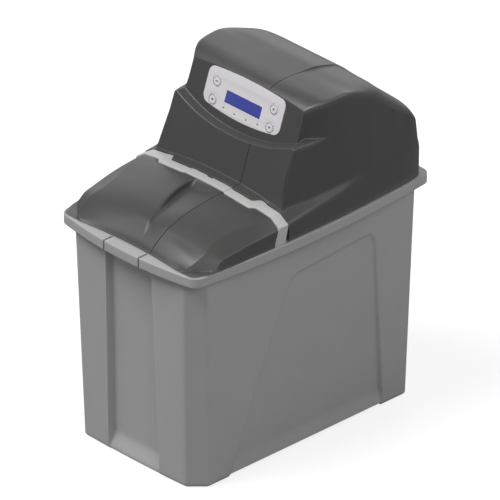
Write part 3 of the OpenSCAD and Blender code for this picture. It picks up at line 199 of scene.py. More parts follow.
def wound(tree, base, height, where):
    """Crossed bands of wound fibre under the resin coat of the tank, round the tank's own axis."""
    around = node(tree, "ShaderNodeSeparateXYZ", {0: where})
    y = node(tree, "ShaderNodeMath", {0: around.outputs[1], 1: TANK_Y * MM}, operation="SUBTRACT").outputs[0]
    angle = node(tree, "ShaderNodeMath", {0: y, 1: around.outputs[0]}, operation="ARCTAN2").outputs[0]
    bands = []
    for turn in (1.0, -1.0):
        along = node(tree, "ShaderNodeMath", {0: around.outputs[2], 1: 420.0},
                     operation="MULTIPLY").outputs[0]
        lay = node(tree, "ShaderNodeMath", {0: angle, 1: 12.0 * turn, 2: along},
                   operation="MULTIPLY_ADD").outputs[0]
        bands.append(node(tree, "ShaderNodeMath", {0: lay}, operation="SINE").outputs[0])
    both = node(tree, "ShaderNodeMath", {0: bands[0], 1: bands[1]}, operation="MAXIMUM").outputs[0]
    share = node(tree, "ShaderNodeMapRange", {"Value": both, "From Min": -0.6, "From Max": 1.0,
                                              "To Min": 0.82, "To Max": 1.08}).outputs[0]
    tinted = node(tree, "ShaderNodeVectorMath", {0: base, "Scale": share}, operation="SCALE").outputs[0]
    return tinted, node(tree, "ShaderNodeMath", {0: both, 1: height}, operation="ADD").outputs[0]


def beads(tree, base, height, where):
    """Round beads of resin or foam, with painted shade: lighter in the middle of each bead and darker towards
    the gaps between them.
    """
    cells = node(tree, "ShaderNodeTexVoronoi", {"Vector": where, "Scale": 1300.0})
    # Painted shade: the tone falls from the middle of each cell towards its edge, where the gaps between
    # beads lie.
    share = node(tree, "ShaderNodeMapRange", {"Value": cells.outputs["Distance"], "From Max": 0.7,
                                              "To Min": 1.25, "To Max": 0.45}).outputs[0]
    tinted = node(tree, "ShaderNodeVectorMath", {0: base, "Scale": share}, operation="SCALE").outputs[0]
    return tinted, share


def circuit(tree, base, height, where):
    """Copper tracks under green solder mask."""
    tracks = node(tree, "ShaderNodeTexBrick", {"Vector": where, "Scale": 130.0, "Mortar Size": 0.09,
                                               "Color1": (1, 1, 1, 1), "Color2": (0.8, 0.8, 0.8, 1),
                                               "Mortar": (2.2, 2.0, 1.3, 1), "Row Height": 0.6})
    tinted = node(tree, "ShaderNodeVectorMath", {0: base, 1: tracks.outputs["Color"]}, operation="MULTIPLY")
    return tinted.outputs[0], tracks.outputs["Fac"]


def cells_of_display(tree, base, height, where):
    """Sixteen by two character cells, a shade lighter than the field round them."""
    split = node(tree, "ShaderNodeSeparateXYZ", {0: where})
    shares = []
    for axis, pitch, fill in ((0, 4.0, 0.8), (1, 7.4, 0.84)):
        at = node(tree, "ShaderNodeMath", {0: split.outputs[axis], 1: 1 / (pitch * MM)}, operation="MULTIPLY")
        part = node(tree, "ShaderNodeMath", {0: at.outputs[0]}, operation="FRACT")
        shares.append(node(tree, "ShaderNodeMath", {0: part.outputs[0], 1: fill},
                           operation="LESS_THAN").outputs[0])
    inside = node(tree, "ShaderNodeMath", {0: shares[0], 1: shares[1]}, operation="MULTIPLY").outputs[0]
    share = node(tree, "ShaderNodeMapRange", {"Value": inside, "To Min": 0.9, "To Max": 1.06}).outputs[0]
    tinted = node(tree, "ShaderNodeVectorMath", {0: base, "Scale": share}, operation="SCALE").outputs[0]
    return tinted, height


def lay_salt_dust(tree, base, height, where):
    """Dry brine marks on pale plastic, a shade darker than the rest."""
    marks = node(tree, "ShaderNodeTexNoise", {"Vector": where, "Scale": 55.0, "Detail": 6.0})
    share = node(tree, "ShaderNodeMapRange", {"Value": marks.outputs["Fac"], "From Min": 0.45,
                                              "From Max": 0.7, "To Min": 1.0, "To Max": 0.9}).outputs[0]
    return node(tree, "ShaderNodeVectorMath", {0: base, "Scale": share}, operation="SCALE").outputs[0], height


# In these looks, the value that lightens convex edges is the strength of a painted highlight.
LOOKS = {
    "tub": dict(color=(0.395, 0.395, 0.396), rough=0.5, painted_edge_highlight=0.1, mottle=0.02),
    "cover": dict(color=(0.058, 0.0572, 0.0565), rough=0.4, painted_edge_highlight=0.25, mottle=0.03, specular=0.6),
    "strap": dict(color=(0.50, 0.50, 0.495), rough=0.45, mottle=0.02),
    "steel": dict(color=(0.62, 0.63, 0.65), rough=0.32, metallic=1.0, stretch=(1, 1, 9), grain=500.0),
    "panel": dict(color=(0.72, 0.70, 0.72), rough=0.3, grain=2500.0, bump=0.05, coat=0.1, mottle=0.01),
    "window": dict(color=(0.05, 0.065, 0.36), rough=0.12, grain=3000.0, bump=0.02, coat=0.5, mottle=0.01,
                   extra=cells_of_display),
    "module": dict(color=(0.45, 0.46, 0.48), rough=0.35, metallic=1.0, stretch=(1, 7, 1)),
    "board": dict(color=(0.03, 0.20, 0.09), rough=0.3, coat=0.3, extra=circuit),
    "key": dict(color=(0.74, 0.73, 0.75), rough=0.32, grain=2500.0, bump=0.05, coat=0.1, mottle=0.01),
    "black_plastic": dict(color=(0.03, 0.03, 0.03), rough=0.45, painted_edge_highlight=0.1),
    "tank": dict(color=(0.05, 0.13, 0.30), rough=0.3, coat=0.3, depth=0.0004, bump=0.25, extra=wound),
    "white_plastic": dict(color=(0.74, 0.74, 0.72), rough=0.45, mottle=0.03, extra=lay_salt_dust),
    "resin": dict(color=(0.45, 0.24, 0.07), rough=0.4, bump=0.6, depth=0.0004, extra=beads),
    "seal": dict(color=(0.02, 0.02, 0.02), rough=0.55, grain=1500.0),
    "valve": dict(color=(0.055, 0.055, 0.06), rough=0.5, grain=1300.0, bump=0.25, painted_edge_highlight=0.1),
    "gear": dict(color=(0.76, 0.75, 0.70), rough=0.42),
    "motor": dict(color=(0.55, 0.56, 0.57), rough=0.3, metallic=1.0, stretch=(1, 1, 12)),
    "handle": dict(color=(0.05, 0.14, 0.38), rough=0.35, coat=0.15, painted_edge_highlight=0.1),
    "line": dict(color=(0.80, 0.81, 0.80), rough=0.25, stretch=(1, 1, 0.2), coat=0.2),
    "well": dict(color=(0.72, 0.73, 0.72), rough=0.4, stretch=(1, 1, 0.15), extra=lay_salt_dust),
    "float": dict(color=(0.76, 0.76, 0.74), rough=0.6, bump=0.4, depth=0.0003, extra=beads),
    "grid": dict(color=(0.62, 0.63, 0.63), rough=0.5, extra=lay_salt_dust),
}
materials = {name: make_material(name, **look) for name, look in LOOKS.items()}
materials["mark"] = make_material("mark", (0.09, 0.09, 0.11), 0.4, grain=2000.0, mottle=0.02)
slot_of = {part["node"]: part["material_slot"] for part in frame["record"]["subparts"]}
body_of = {name: body for body, names in frame["record"]["behaviour"]["bodies"].items() for name in names}
for name, obj in frame["nodes"].items():
    obj.data.materials.clear()
    obj.data.materials.append(materials[slot_of[name]])

# Mesh tools

WELD = 0.00002


def step(x, low, high):
    """A smooth step from 0 at low to 1 at high, falling where low is above high."""
    t = np.clip((np.asarray(x, float) - low) / (high - low), 0, 1)
    return t * t * (3 - 2 * t)


def curve(knots, values, at, breaks=()):
    """Values between the knots on a curve without overshoot, smooth except at the breaks."""
    knots, at = np.asarray(knots, float), np.asarray(at, float)
    values = np.asarray(values, float)
    shape = values.shape[1:]
    values = values.reshape(len(knots), -1)
    gap = np.diff(knots)[:, None]
    slope = np.diff(values, axis=0) / gap
    inner = (slope[:-1] * gap[1:] + slope[1:] * gap[:-1]) / (gap[1:] + gap[:-1])
    limit = 3 * np.minimum(abs(slope[:-1]), abs(slope[1:])) * (slope[:-1] * slope[1:] > 0)
    inner = np.clip(inner, -limit, limit)
    arrive, leave = np.vstack([slope[:1], inner, slope[-1:]]), np.vstack([slope[:1], inner, slope[-1:]])
    for b in breaks:
        if 0 < b < len(knots) - 1:
            arrive[b], leave[b] = slope[b - 1], slope[b]
    k = np.clip(np.searchsorted(knots, at, side="right") - 1, 0, len(knots) - 2)
    h = np.diff(knots)[k][:, None]
    t = ((at - knots[k]) / h[:, 0])[:, None]
    made = ((2 * t**3 - 3 * t**2 + 1) * values[k] + (t**3 - 2 * t**2 + t) * h * leave[k]
            + (3 * t**2 - 2 * t**3) * values[k + 1] + (t**3 - t**2) * h * arrive[k + 1])
    return made.reshape(len(at), *shape)


def spread(knots, pitch):
    """Sample places that include every knot and are at most a pitch apart."""
    places = [np.linspace(a, b, max(1, math.ceil((b - a) / pitch)), endpoint=False)
              for a, b in zip(knots, knots[1:])]
    return np.concatenate(places + [[knots[-1]]])


def relax(grid, rounds, keep=None):
    """Rounds the creases of a grid of points; its border stays, and so do the points marked in keep."""
    for _ in range(rounds):
        mean = (grid[:-2, 1:-1] + grid[2:, 1:-1] + grid[1:-1, :-2] + grid[1:-1, 2:]) / 4
        moved = 0.5 * grid[1:-1, 1:-1] + 0.5 * mean
        if keep is not None:
            moved = np.where(keep[1:-1, 1:-1, None], grid[1:-1, 1:-1], moved)
        grid[1:-1, 1:-1] = moved
    return grid


def normals_of(grid):
    """The unit normals of a grid of points."""
    along, across = np.gradient(grid, axis=0), np.gradient(grid, axis=1)
    n = np.cross(across, along)
    return n / np.maximum(np.linalg.norm(n, axis=2, keepdims=True), 1e-9)


def quads(rows, columns, flip=False, closed=False):
    """The faces of a grid of points, closed from the last column to the first if asked."""
    faces = []
    for r in range(rows - 1):
        for c in range(columns if closed else columns - 1):
            a, b = r * columns + c, r * columns + (c + 1) % columns
            face = (a, b, b + columns, a + columns)
            faces.append(face[::-1] if flip else face)
    return faces


def new_piece(name, points, faces):
    """A mesh object from points in millimetres."""
    mesh = bpy.data.meshes.new(name)
    mesh.from_pydata((np.asarray(points, float).reshape(-1, 3) * MM).tolist(), [], faces)
    obj = bpy.data.objects.new(name, mesh)
    scene.collection.objects.link(obj)
    return obj


def tidy(obj, angle=32):
    """Welds a finished mesh, turns its faces outwards and keeps only edges over the angle sharp."""
    bm = bmesh.new()
    bm.from_mesh(obj.data)
    bmesh.ops.remove_doubles(bm, verts=bm.verts, dist=WELD)
    bmesh.ops.recalc_face_normals(bm, faces=bm.faces)
    bm.to_mesh(obj.data)
    bm.free()
    obj.data.shade_smooth()
    obj.data.set_sharp_from_angle(angle=math.radians(angle))
    return obj


def join(main, *others):
    """Adds the other objects' meshes to the main one."""
    bpy.ops.object.select_all(action="DESELECT")
    for o in (main, *others):
        o.select_set(True)
    bpy.context.view_layer.objects.active = main
    bpy.ops.object.join()
    return main


def apply_modifiers(obj):
    """Replaces an object's mesh by the one that its modifiers make."""
    bpy.context.view_layer.update()
    made = bpy.data.meshes.new_from_object(obj.evaluated_get(bpy.context.evaluated_depsgraph_get()))
    obj.modifiers.clear()
    obj.data = made
    return obj


def cut(obj, cutter):
    """Cuts a closed mesh out of another and removes the cutter."""
    change = obj.modifiers.new("cut", "BOOLEAN")
    change.operation, change.solver, change.object = "DIFFERENCE", "EXACT", cutter
    apply_modifiers(obj)
    bpy.data.objects.remove(cutter)
    return obj


def block(low, high, at=None):
    """A closed box between two corners, moved by the matrix at, for use as a cutter or part of a mesh."""
    picks = [(0, 0), (1, 0), (1, 1), (0, 1)]
    corners = [Vector([(low, high)[i][a] for a, i in enumerate((*pick, top))])
               for top in (0, 1) for pick in picks]
    corners = [at @ c if at else c for c in corners]
    return new_piece("block", corners, [(3, 2, 1, 0), (4, 5, 6, 7), (0, 1, 5, 4), (1, 2, 6, 5), (2, 3, 7, 6),
                                        (3, 0, 4, 7)])


def turned(profile, at, sides=48):
    """A closed solid turned about z from (radius, height) pairs and moved by the matrix at."""
    points = []
    for r, h in profile:
        turns = [2 * math.pi * i / sides for i in range(sides)]
        points += [at @ Vector((r * math.cos(a), r * math.sin(a), h)) for a in turns]
    faces = quads(len(profile), sides, closed=True)
    faces += [tuple(range(sides))[::-1], tuple(range(len(points) - sides, len(points)))]
    return new_piece("turned", points, faces)


def place(obj, node_name=None, body=None, slot=None, material=None):
    """Gives a finished piece its material, its body and the node that it stands for."""
    slot = slot or slot_of[node_name]
    obj.data.materials.clear()
    obj.data.materials.append(materials[material or slot])
    if node_name:
        obj.name = node_name + "_skin"
        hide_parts(node_name)
    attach(obj, body or body_of[node_name])
    return obj


# Tub

TUB_H, RIM_Z, SEAT_Z, RIM_R = 360.0, 344.0, 360.2, 1.8
TUB_HALF_X, TUB_HALF_Y, TAPER_X, TAPER_Y, TUB_CORNER, FOOT_R = 136, 229.5, 7.5, 10, 24, 6
RIM_HALF_X, RIM_HALF_Y, RIM_CORNER, WALL = 140.5, 233, 13, 7.5
SLIT_X, SLIT_HALF = 36, 1.75
SIDE_RECESS = np.array([(-155, -1), (150, -1), (128, 284), (120, 297), (105, 298), (-26, 290), (-38, 284),
                        (-46, 272)], float)


def tub_x(z):
    """The tub's half width at a level."""
    return TUB_HALF_X - TAPER_X * (1 - z / RIM_Z)


def tub_y(z):
    """The tub's half depth at a level."""
    return TUB_HALF_Y - TAPER_Y * (1 - z / RIM_Z)


def ring(hx, hy, r, bow_x, bow_front, bow_back, z, edge_x, flat=False):
    """One closed ring round the tub, with round or flat corners; its columns follow the front recess."""
    def arc(sx, sy, start):
        a = np.radians(start + np.linspace(0, 90, 15))
        turn = np.stack([np.cos(a), np.sin(a)], 1)
        if flat:
            share = np.array([0, 0.05, 0.1] + list(np.linspace(0.18, 0.82, 9)) + [0.9, 0.95, 1])[:, None]
            turn = turn[0] * (1 - share) + turn[-1] * share
            turn[[0, -1]] -= (turn[0] + turn[-1]) * 0.012
        return np.array([sx * (hx - r), sy * (hy - r)]) + r * turn

    end_y = hy - r
    half = np.concatenate([np.linspace(hx - r, edge_x + 1.6, 17)[1:],
                           np.linspace(edge_x + 1.6, edge_x - 1.6, 6)[1:],
                           np.linspace(edge_x - 1.6, 0, 16)[1:]])
    across = np.concatenate([half, -half[-2::-1]])[:-1]
    sides = np.linspace(end_y, -end_y, 201)[1:-1]
    parts = [arc(1, 1, 0), np.stack([across, np.full(len(across), hy)], 1),
             arc(-1, 1, 90), np.stack([np.full(len(sides), -hx), sides], 1),
             arc(-1, -1, 180), np.stack([-across, np.full(len(across), -hy)], 1),
             arc(1, -1, 270), np.stack([np.full(len(sides), hx), -sides], 1)]
    p = np.concatenate(parts)
    u, v = p[:, 0] / hx, p[:, 1] / hy
    bow_y = np.where(p[:, 1] < 0, bow_front, bow_back)
    return np.stack([p[:, 0] + bow_x * u * (1 - v * v), p[:, 1] + bow_y * v * (1 - u * u),
                     np.full(len(p), z)], 1)


def inside_by(points, polygon):
    """How far points lie inside a closed polygon, negative outside."""
    a, b = polygon, np.roll(polygon, -1, axis=0)
    d = b - a
    t = np.clip(((points[:, None] - a) * d).sum(2) / (d * d).sum(1), 0, 1)
    near = np.linalg.norm(points[:, None] - (a + t[..., None] * d), axis=2).min(1)
    x, y = points[:, :1], points[:, 1:]
    level = a[:, 0] + d[:, 0] * (y - a[:, 1]) / np.where(d[:, 1], d[:, 1], 1)
    crosses = ((a[:, 1] > y) != (b[:, 1] > y)) & (x < level)
    return np.where(crosses.sum(1) % 2, near, -near)


def tub_wall(z, inset):
    """A ring of the tub's wall; the recesses in its front and sides run out towards the foot."""
    edge_x = 52 - 6 * z / RIM_Z
    p = ring(tub_x(z) - inset, tub_y(z) - inset, TUB_CORNER - inset, 0.5, 4, -4, z, edge_x, True)
    front = p[:, 1] < -150
    high = float(step(z, RIM_Z + 2, RIM_Z - 3) * step(z, -5, 32))
    share = step(edge_x - abs(p[:, 0]), -1.6, 1.6) * front * high
    p[:, 1] += share * (-tub_y(z) + 7 + inset - p[:, 1])
    side_x = 123 + 9.3 * z / 284 - inset
    deep = inside_by(p[:, 1:], SIDE_RECESS)
    share = step(deep, -2, 2.5) * (abs(p[:, 0]) > 105) * float(step(z, -5, 30))
    p[:, 0] += share * (np.sign(p[:, 0]) * side_x - p[:, 0]) * (abs(p[:, 0]) > side_x)
    return p


def rim_ring(z, inset):
    """A ring of the rim, bowed out at the middle of each side."""
    return ring(RIM_HALF_X - inset, RIM_HALF_Y - inset, RIM_CORNER - inset, 14, 15, 3, z, 46.0)


def make_tub():
    """The tub: its inside, the rim, the outside, the slits beside the finger tab and the overflow's pad."""
    rings = [tub_wall(z, WALL) for z in np.linspace(9, 350, 30)]
    rings += [tub_wall(356, WALL), tub_wall(359, WALL), tub_wall(359.8, WALL + 0.4)]
    rings += [rim_ring(TUB_H, 6), rim_ring(TUB_H, RIM_R)]
    rings += [rim_ring(TUB_H - RIM_R + RIM_R * math.cos(a), RIM_R - RIM_R * math.sin(a))
              for a in np.radians([20, 40, 60, 80, 90])]
    rings += [rim_ring(z, 0) for z in (352, 346.5, 345)]
    rings += [rim_ring(RIM_Z + 0.3, 0.3), rim_ring(RIM_Z, 1), rim_ring(RIM_Z, 4), rim_ring(355, 4)]
    rings += [tub_wall(356, 0)]
    rings += [tub_wall(z, 0) for z in np.linspace(350, 7, 130)]
    rings += [tub_wall(FOOT_R - FOOT_R * math.sin(a), FOOT_R - FOOT_R * math.cos(a))
              for a in np.radians([15, 30, 45, 60, 75, 90])]
    count = len(rings[0])
    faces = quads(len(rings), count, closed=True, flip=True)
    faces += [tuple(range(count)), tuple(range((len(rings) - 1) * count, len(rings) * count))[::-1]]
    tub = new_piece("tub_skin", np.concatenate(rings), faces)
    bm = bmesh.new()
    bm.from_mesh(tub.data)
    bmesh.ops.recalc_face_normals(bm, faces=bm.faces)
    bm.to_mesh(tub.data)
    bm.free()
    cutters = [block((sx * SLIT_X - SLIT_HALF, -252, RIM_Z - 1), (sx * SLIT_X + SLIT_HALF, -229, TUB_H + 2))
               for sx in (-1, 1)]
    foot_gap = block((-200, -155, -1), (200, 150, 5))
    cut(tub, join(foot_gap, *cutters))
    pad = turned([(20, 0), (20, 9.2), (19.2, 10)],
                 Matrix.Translation((-75, 217, 312)) @ Matrix.Rotation(math.radians(-90), 4, "X"))
    join(tub, pad)
    return place(tidy(tub, 38), "tub")


# Edges that the strap shares with the covers

STRAP_FRONT, STRAP_REAR, STRAP_TOP, STRAP_CROWN = -84.3, -67.9, 408, 9
STRAP_KNEE_X, STRAP_SIDE_X, END_BACK, EDGE_ROUND = 131.5, 149.4, 8.3, 1.3


def strap_front(x):
    """The strap's front edge: set back at the middle, forward beside it, and far back at both ends."""
    a = abs(np.asarray(x, float))
    return STRAP_FRONT + 2.4 * step(a, 43, 41) + END_BACK * step(a, 93, 103)


def strap_rear(x):
    """The strap's rear edge, with a bulge beside each end and a small notch near the middle."""
    a = abs(np.asarray(x, float))
    bulge = 1.8 * step(a, 86, 94) * step(a, 108, 98)
    latch = -2.2 * step(x, -10, -8.5) * step(x, 3, 1.5)
    return STRAP_REAR + 2.2 * step(a, 43, 41) + 10.2 * step(a, 82, 92) + bulge + latch


def groove(grid, column, rows, width=0.85, depth=1.5):
    """Presses a narrow groove along one column of a grid, by two new columns beside it."""
    n = normals_of(grid)[:, column]
    centre = grid[:, column].copy()
    sides = []
    for other in (column - 1, column + 1):
        way = grid[:, other] - centre
        sides.append(centre + way / np.linalg.norm(way, axis=1, keepdims=True) * width)
    centre = centre - n * (depth * rows)[:, None]
    return np.concatenate([grid[:, :column], sides[0][:, None], centre[:, None], sides[1][:, None],
                           grid[:, column + 1:]], axis=1)


def shell_piece(name, grid, wall):
    """A closed shell from its outer grid, with the wall turned inwards."""
    rows, columns = grid.shape[:2]
    obj = new_piece(name, grid, quads(rows, columns))
    change = obj.modifiers.new("wall", "SOLIDIFY")
    change.thickness, change.offset, change.use_even_offset = wall * MM, -1, False
    return apply_modifiers(obj)


# Salt lid

# Each row: y, rise at the middle, half widths at the top, the bevel's foot and the seat, the bevel's level,
# how far the middle lies back, and how much lower the top is at its sides.
LID = np.array([
    (-233.5, 1.2, 98, 101, 128, 0.6, 6, 0.1), (-231.5, 4.5, 104, 108, 132, 0.7, 6, 1.5),
    (-226, 9.5, 109, 114, 137, 0.9, 5, 5), (-218, 15.5, 114.5, 121, 140, 1.0, 4, 8),
    (-210, 20.8, 117, 130.5, 143, 1.2, 3, 8.7), (-202, 25.5, 118, 138.5, 145, 2.2, 2, 9.2),
    (-193, 29.8, 118.5, 141.5, 145.7, 7.0, 0, 9.2), (-185, 33, 116.8, 142, 146.1, 12, 0, 9.2),
    (-178, 35.5, 114.5, 142, 146.5, 14.5, 0, 9.2), (-170, 37.8, 113.3, 142.4, 147.2, 15.7, 0, 9.2),
    (-150, 42, 115.5, 144.4, 148, 18.4, 0, 9.3), (-130, 44.8, 120, 146.1, 148.6, 20.9, 0, 9.5),
    (-110, 46.8, 126, 147.2, 149, 22.9, 0, 9.4), (-96, 47.6, 130.5, 147.9, 149.3, 24.3, 0, 9.0)], float)
HINGE_X, HINGE_Y, HINGE_Z, EDGE_R = 70, -88.7, 401.4, 2.0
SEAM_X, SCOOP_DEPTH, SIDE_POINTS = 41.0, 10.5, 14


def crest_x(y):
    """Where the scoop's crest runs."""
    return curve([-260, -210, -185, -163, -136, -110, -87], [12, 9, 0.7, -4.8, -12.2, -17.3, -18.5],
                 np.atleast_1d(y))


def scoop(x, y):
    """Depth of the scoop: a steep wall right of its crest, a floor that runs out at the seam."""
    c = crest_x(y)
    deep = SCOOP_DEPTH * step(y, -222, -120) ** 0.85 * step(y, -87, -97)
    wall = step(x, c, c + 3.6)
    floor = np.clip((SEAM_X - 2 - x) / (SEAM_X - 2 - c), 0, 1)
    return deep * wall * floor ** 1.15


def make_lid():
    """The lid's outer grid from its rows, its seam, the wall, and the hinge's openings and cheeks."""
    at = spread(LID[:, 0], 2.5)
    rows = curve(LID[:, 0], LID[:, 1:], at)
    middle = np.concatenate([np.arange(-26, 39.6, 1.1), [SEAM_X], np.arange(43, 52, 3)])
    outer_left = np.concatenate([[-1, -0.99], np.linspace(-0.975, 0, 32)[:-1]])
    outer_right = np.concatenate([np.linspace(0, 0.97, 26)[1:], [0.988, 1]])
    grid = []
    roll = [(HINGE_Y + 2 + EDGE_R * math.sin(a), TUB_H + 47.6 - EDGE_R + EDGE_R * math.cos(a))
            for a in np.radians([0, 30, 60, 90])] + [(HINGE_Y + 4, HINGE_Z - 2)]
    for k in range(len(at) + len(roll)):
        back = k >= len(at)
        row = min(k, len(at) - 1)
        y, (rise, top_w, side_w, foot_w, side_z, bow, droop) = at[row], rows[row]
        z = TUB_H + rise
        if back:
            y, z = roll[k - len(at)]
        left = -26 + outer_left * (top_w - 26)
        right = middle[-1] + outer_right * (top_w - middle[-1])
        x = np.concatenate([left, middle, right])
        depth = scoop(x, np.full(len(x), y if not back else -80.0))
        late = np.full(len(x), float(step(y, -110, -92)))
        power = 2 + 1.5 * float(step(y, -195, -215))
        top = np.stack([x, y + bow * (1 - (x / top_w) ** 2) + late * (strap_front(x) - STRAP_FRONT),
                        z - depth - droop * abs(x / top_w) ** power], 1)
        drop = max(0, TUB_H + rise - z)
        side = []
        for t in (0, 0.15, 0.3, 0.45, 0.6, 0.75, 0.88, 0.96):
            side.append((foot_w + (side_w - foot_w) * t, y + late[0] * (END_BACK * t - 1.3 * (1 - t)),
                         SEAT_Z + (side_z - 0.2) * t - drop * t))
        corner_z = top[0, 2]
        for t in (0, 0.05, 0.25, 0.5, 0.75, 0.95):
            bulge = 0.5 * math.sin(math.pi * t) * min(1, rise / 30)
            side.append((side_w + (top_w - side_w) * t, y + late[0] * END_BACK,
                         TUB_H + side_z - drop + (corner_z - TUB_H - side_z + drop) * t + bulge))
        side = np.array(side)
        grid.append(np.concatenate([side * (-1, 1, 1), top, side[::-1]]))
    grid = np.array(grid)
    grid[:, :, 2] = np.maximum(grid[:, :, 2], SEAT_Z)
    seam = SIDE_POINTS + len(outer_left) + int(np.argmin(abs(middle - SEAM_X)))
    keep = np.zeros(grid.shape[:2], bool)
    keep[:, [8, SIDE_POINTS, -1 - SIDE_POINTS, -9]] = True
    grid = relax(grid, 2, keep)
    grid = groove(grid, seam, np.ones(len(grid)))
    lid = shell_piece("salt_lid_skin", grid, 2.5)
    for v in lid.data.vertices:
        v.co.z = max(v.co.z, (SEAT_Z - 0.1) * MM)
    for low, high in (((-4.6, -3, -20), (4.6, 6, 0.1)), ((-4.6, 2, -5), (4.6, 12, 10))):
        cut(lid, join(*[block(low, high, Matrix.Translation((sx * HINGE_X, HINGE_Y, HINGE_Z)))
                        for sx in (-1, 1)]))
    cheeks = [turned([(2.9, 0), (3.3, 0.5), (3.3, 4), (2.9, 4.5)],
                     Matrix.Translation((sx * HINGE_X + e * 6.85 - 2.25, HINGE_Y, HINGE_Z))
                     @ Matrix.Rotation(math.radians(90), 4, "Y")) for sx in (-1, 1) for e in (-1, 1)]
    join(lid, *cheeks)
    return place(tidy(lid, 50), "salt_lid")


# Valve hood

PANEL_SLOPE, BROW_Y, BROW_RISE = 0.35, 7.8, 180


def display_y(rise):
    """Where the sloping front with the display lies at a rise above the rim."""
    return BROW_Y - PANEL_SLOPE * (BROW_RISE - rise)


# Each row: y and rise at the middle, y and rise at both ends, the half width there, the curve's power.
HOOD = np.array([
    (-65.1, 48.0, -57, 39.4, 130, 2), (-50.2, 49.7, -53.1, 40.4, 130.5, 2), (-41.1, 75, -44.6, 75, 124.5, 2),
    (-31.3, 104, -23.6, 127, 120.5, 2.2), (-18.3, 106, -10.4, 128.5, 116, 2.2),
    (display_y(143), 143, display_y(151), 151, 115, 2.2), (7.8, 180, display_y(173), 173, 115, 2.2),
    (13, 182.8, 11.5, 177.5, 120, 2.2), (20, 185, 19.5, 181.5, 125.5, 2.2), (30, 186.5, 30, 185, 130.5, 2),
    (45, 187, 45, 186.5, 133.5, 2), (68, 187, 68, 187, 135, 2), (90, 187, 90, 182, 134, 8),
    (113, 182.5, 113, 170, 133, 10), (132, 176, 132, 157, 132.5, 10), (148, 166, 148, 143, 132, 10),
    (165, 151, 165, 128, 131.5, 10), (185, 134, 184, 114, 131, 10), (205, 116, 202, 103, 131, 10),
    (216, 101, 213, 92, 128.5, 8), (220.5, 82, 217.5, 78, 126.5, 6), (221.5, 42, 219.8, 40, 124.5, 4),
    (222.5, 24, 221.5, 20, 120.5, 4), (226, 11, 225, 8, 112, 4), (230, 0.2, 229, 0.2, 100, 4)], float)
# The half widths and rises of the sides, by y.
FOOT_X = ((-66, 149.5), (-35, 150), (45, 150), (128, 146), (180, 143), (200, 140), (212, 137), (218, 132),
          (224.5, 119), (229, 103))
SKIRT = ((-66, 28), (117, 47), (230, 47))
LEAN_X = ((-66, 128), (-50, 129.5), (0, 139), (60, 143), (117, 145), (150, 142.5), (190, 138.5), (205, 136),
          (213, 133.5), (218, 129), (229, 100))
CREASE_X = ((-24, 124), (0, 127), (10, 129), (35, 134), (68, 137.5), (117, 138), (159, 132.5), (190, 128))
CREASE_INSET = ((-3, 11), (5, 12.5), (12, 9.8), (20, 5.5), (30, 2), (45, 0.8), (230, 0.8))
CREASE_RISE = 128
LEFT_COLUMNS, RIGHT_COLUMNS, FLANK_POINTS, ROOF_STEP = 62, 34, 36, 2.6
# The openings in the back, as left, right and top, for the pipes and for the plate with the power socket.
NOTCHES = ((-62, 80, 466), (-90, -62, 426))


def lookup(y, table):
    """A value between the pairs of a table, on straight lines."""
    return float(np.interp(y, [t[0] for t in table], [t[1] for t in table]))


def hood_side(s):
    """Half width and rise of the hood's side at one station: foot, skirt, lean, two more and the ledge."""
    y, top, w = s[2], s[3], s[4]
    foot = np.array([lookup(y, FOOT_X), 0.0])
    skirt = np.array([foot[0] + 0.5, lookup(y, SKIRT)])
    lean = np.array([lookup(y, LEAN_X), skirt[1] + 11])
    brow = np.array([w, top])
    if top > CREASE_RISE + 4:
        cx = lookup(y, CREASE_X)
        return [foot, skirt, lean, (lean + (cx, CREASE_RISE)) / 2, (cx, CREASE_RISE - 1.5),
                (cx - lookup(y, CREASE_INSET), CREASE_RISE + 1.5)]
    if top > CREASE_RISE - 3:
        cx = lookup(y, CREASE_X)
        return [foot, skirt, lean, (lean + (cx, top - 2)) / 2, (cx, top - 2), (w + 0.7, top - 0.6)]
    if top > skirt[1] + 20:
        return [foot, skirt, lean] + [lean + (brow - lean) * t for t in (0.35, 0.65, 0.85)]
    if y < 0:
        return [foot, skirt] + [skirt + (brow - skirt) * t for t in (0.8, 0.87, 0.93, 0.97)]
    return [(foot[0] + (w - foot[0]) * u**3, top * u) for u in (0, 0.5, 0.7, 0.8, 0.88, 0.95)]


def seam_line(y):
    """Where the seam runs over the hood."""
    return SEAM_X + 6 * float(step(y, 30, 115))


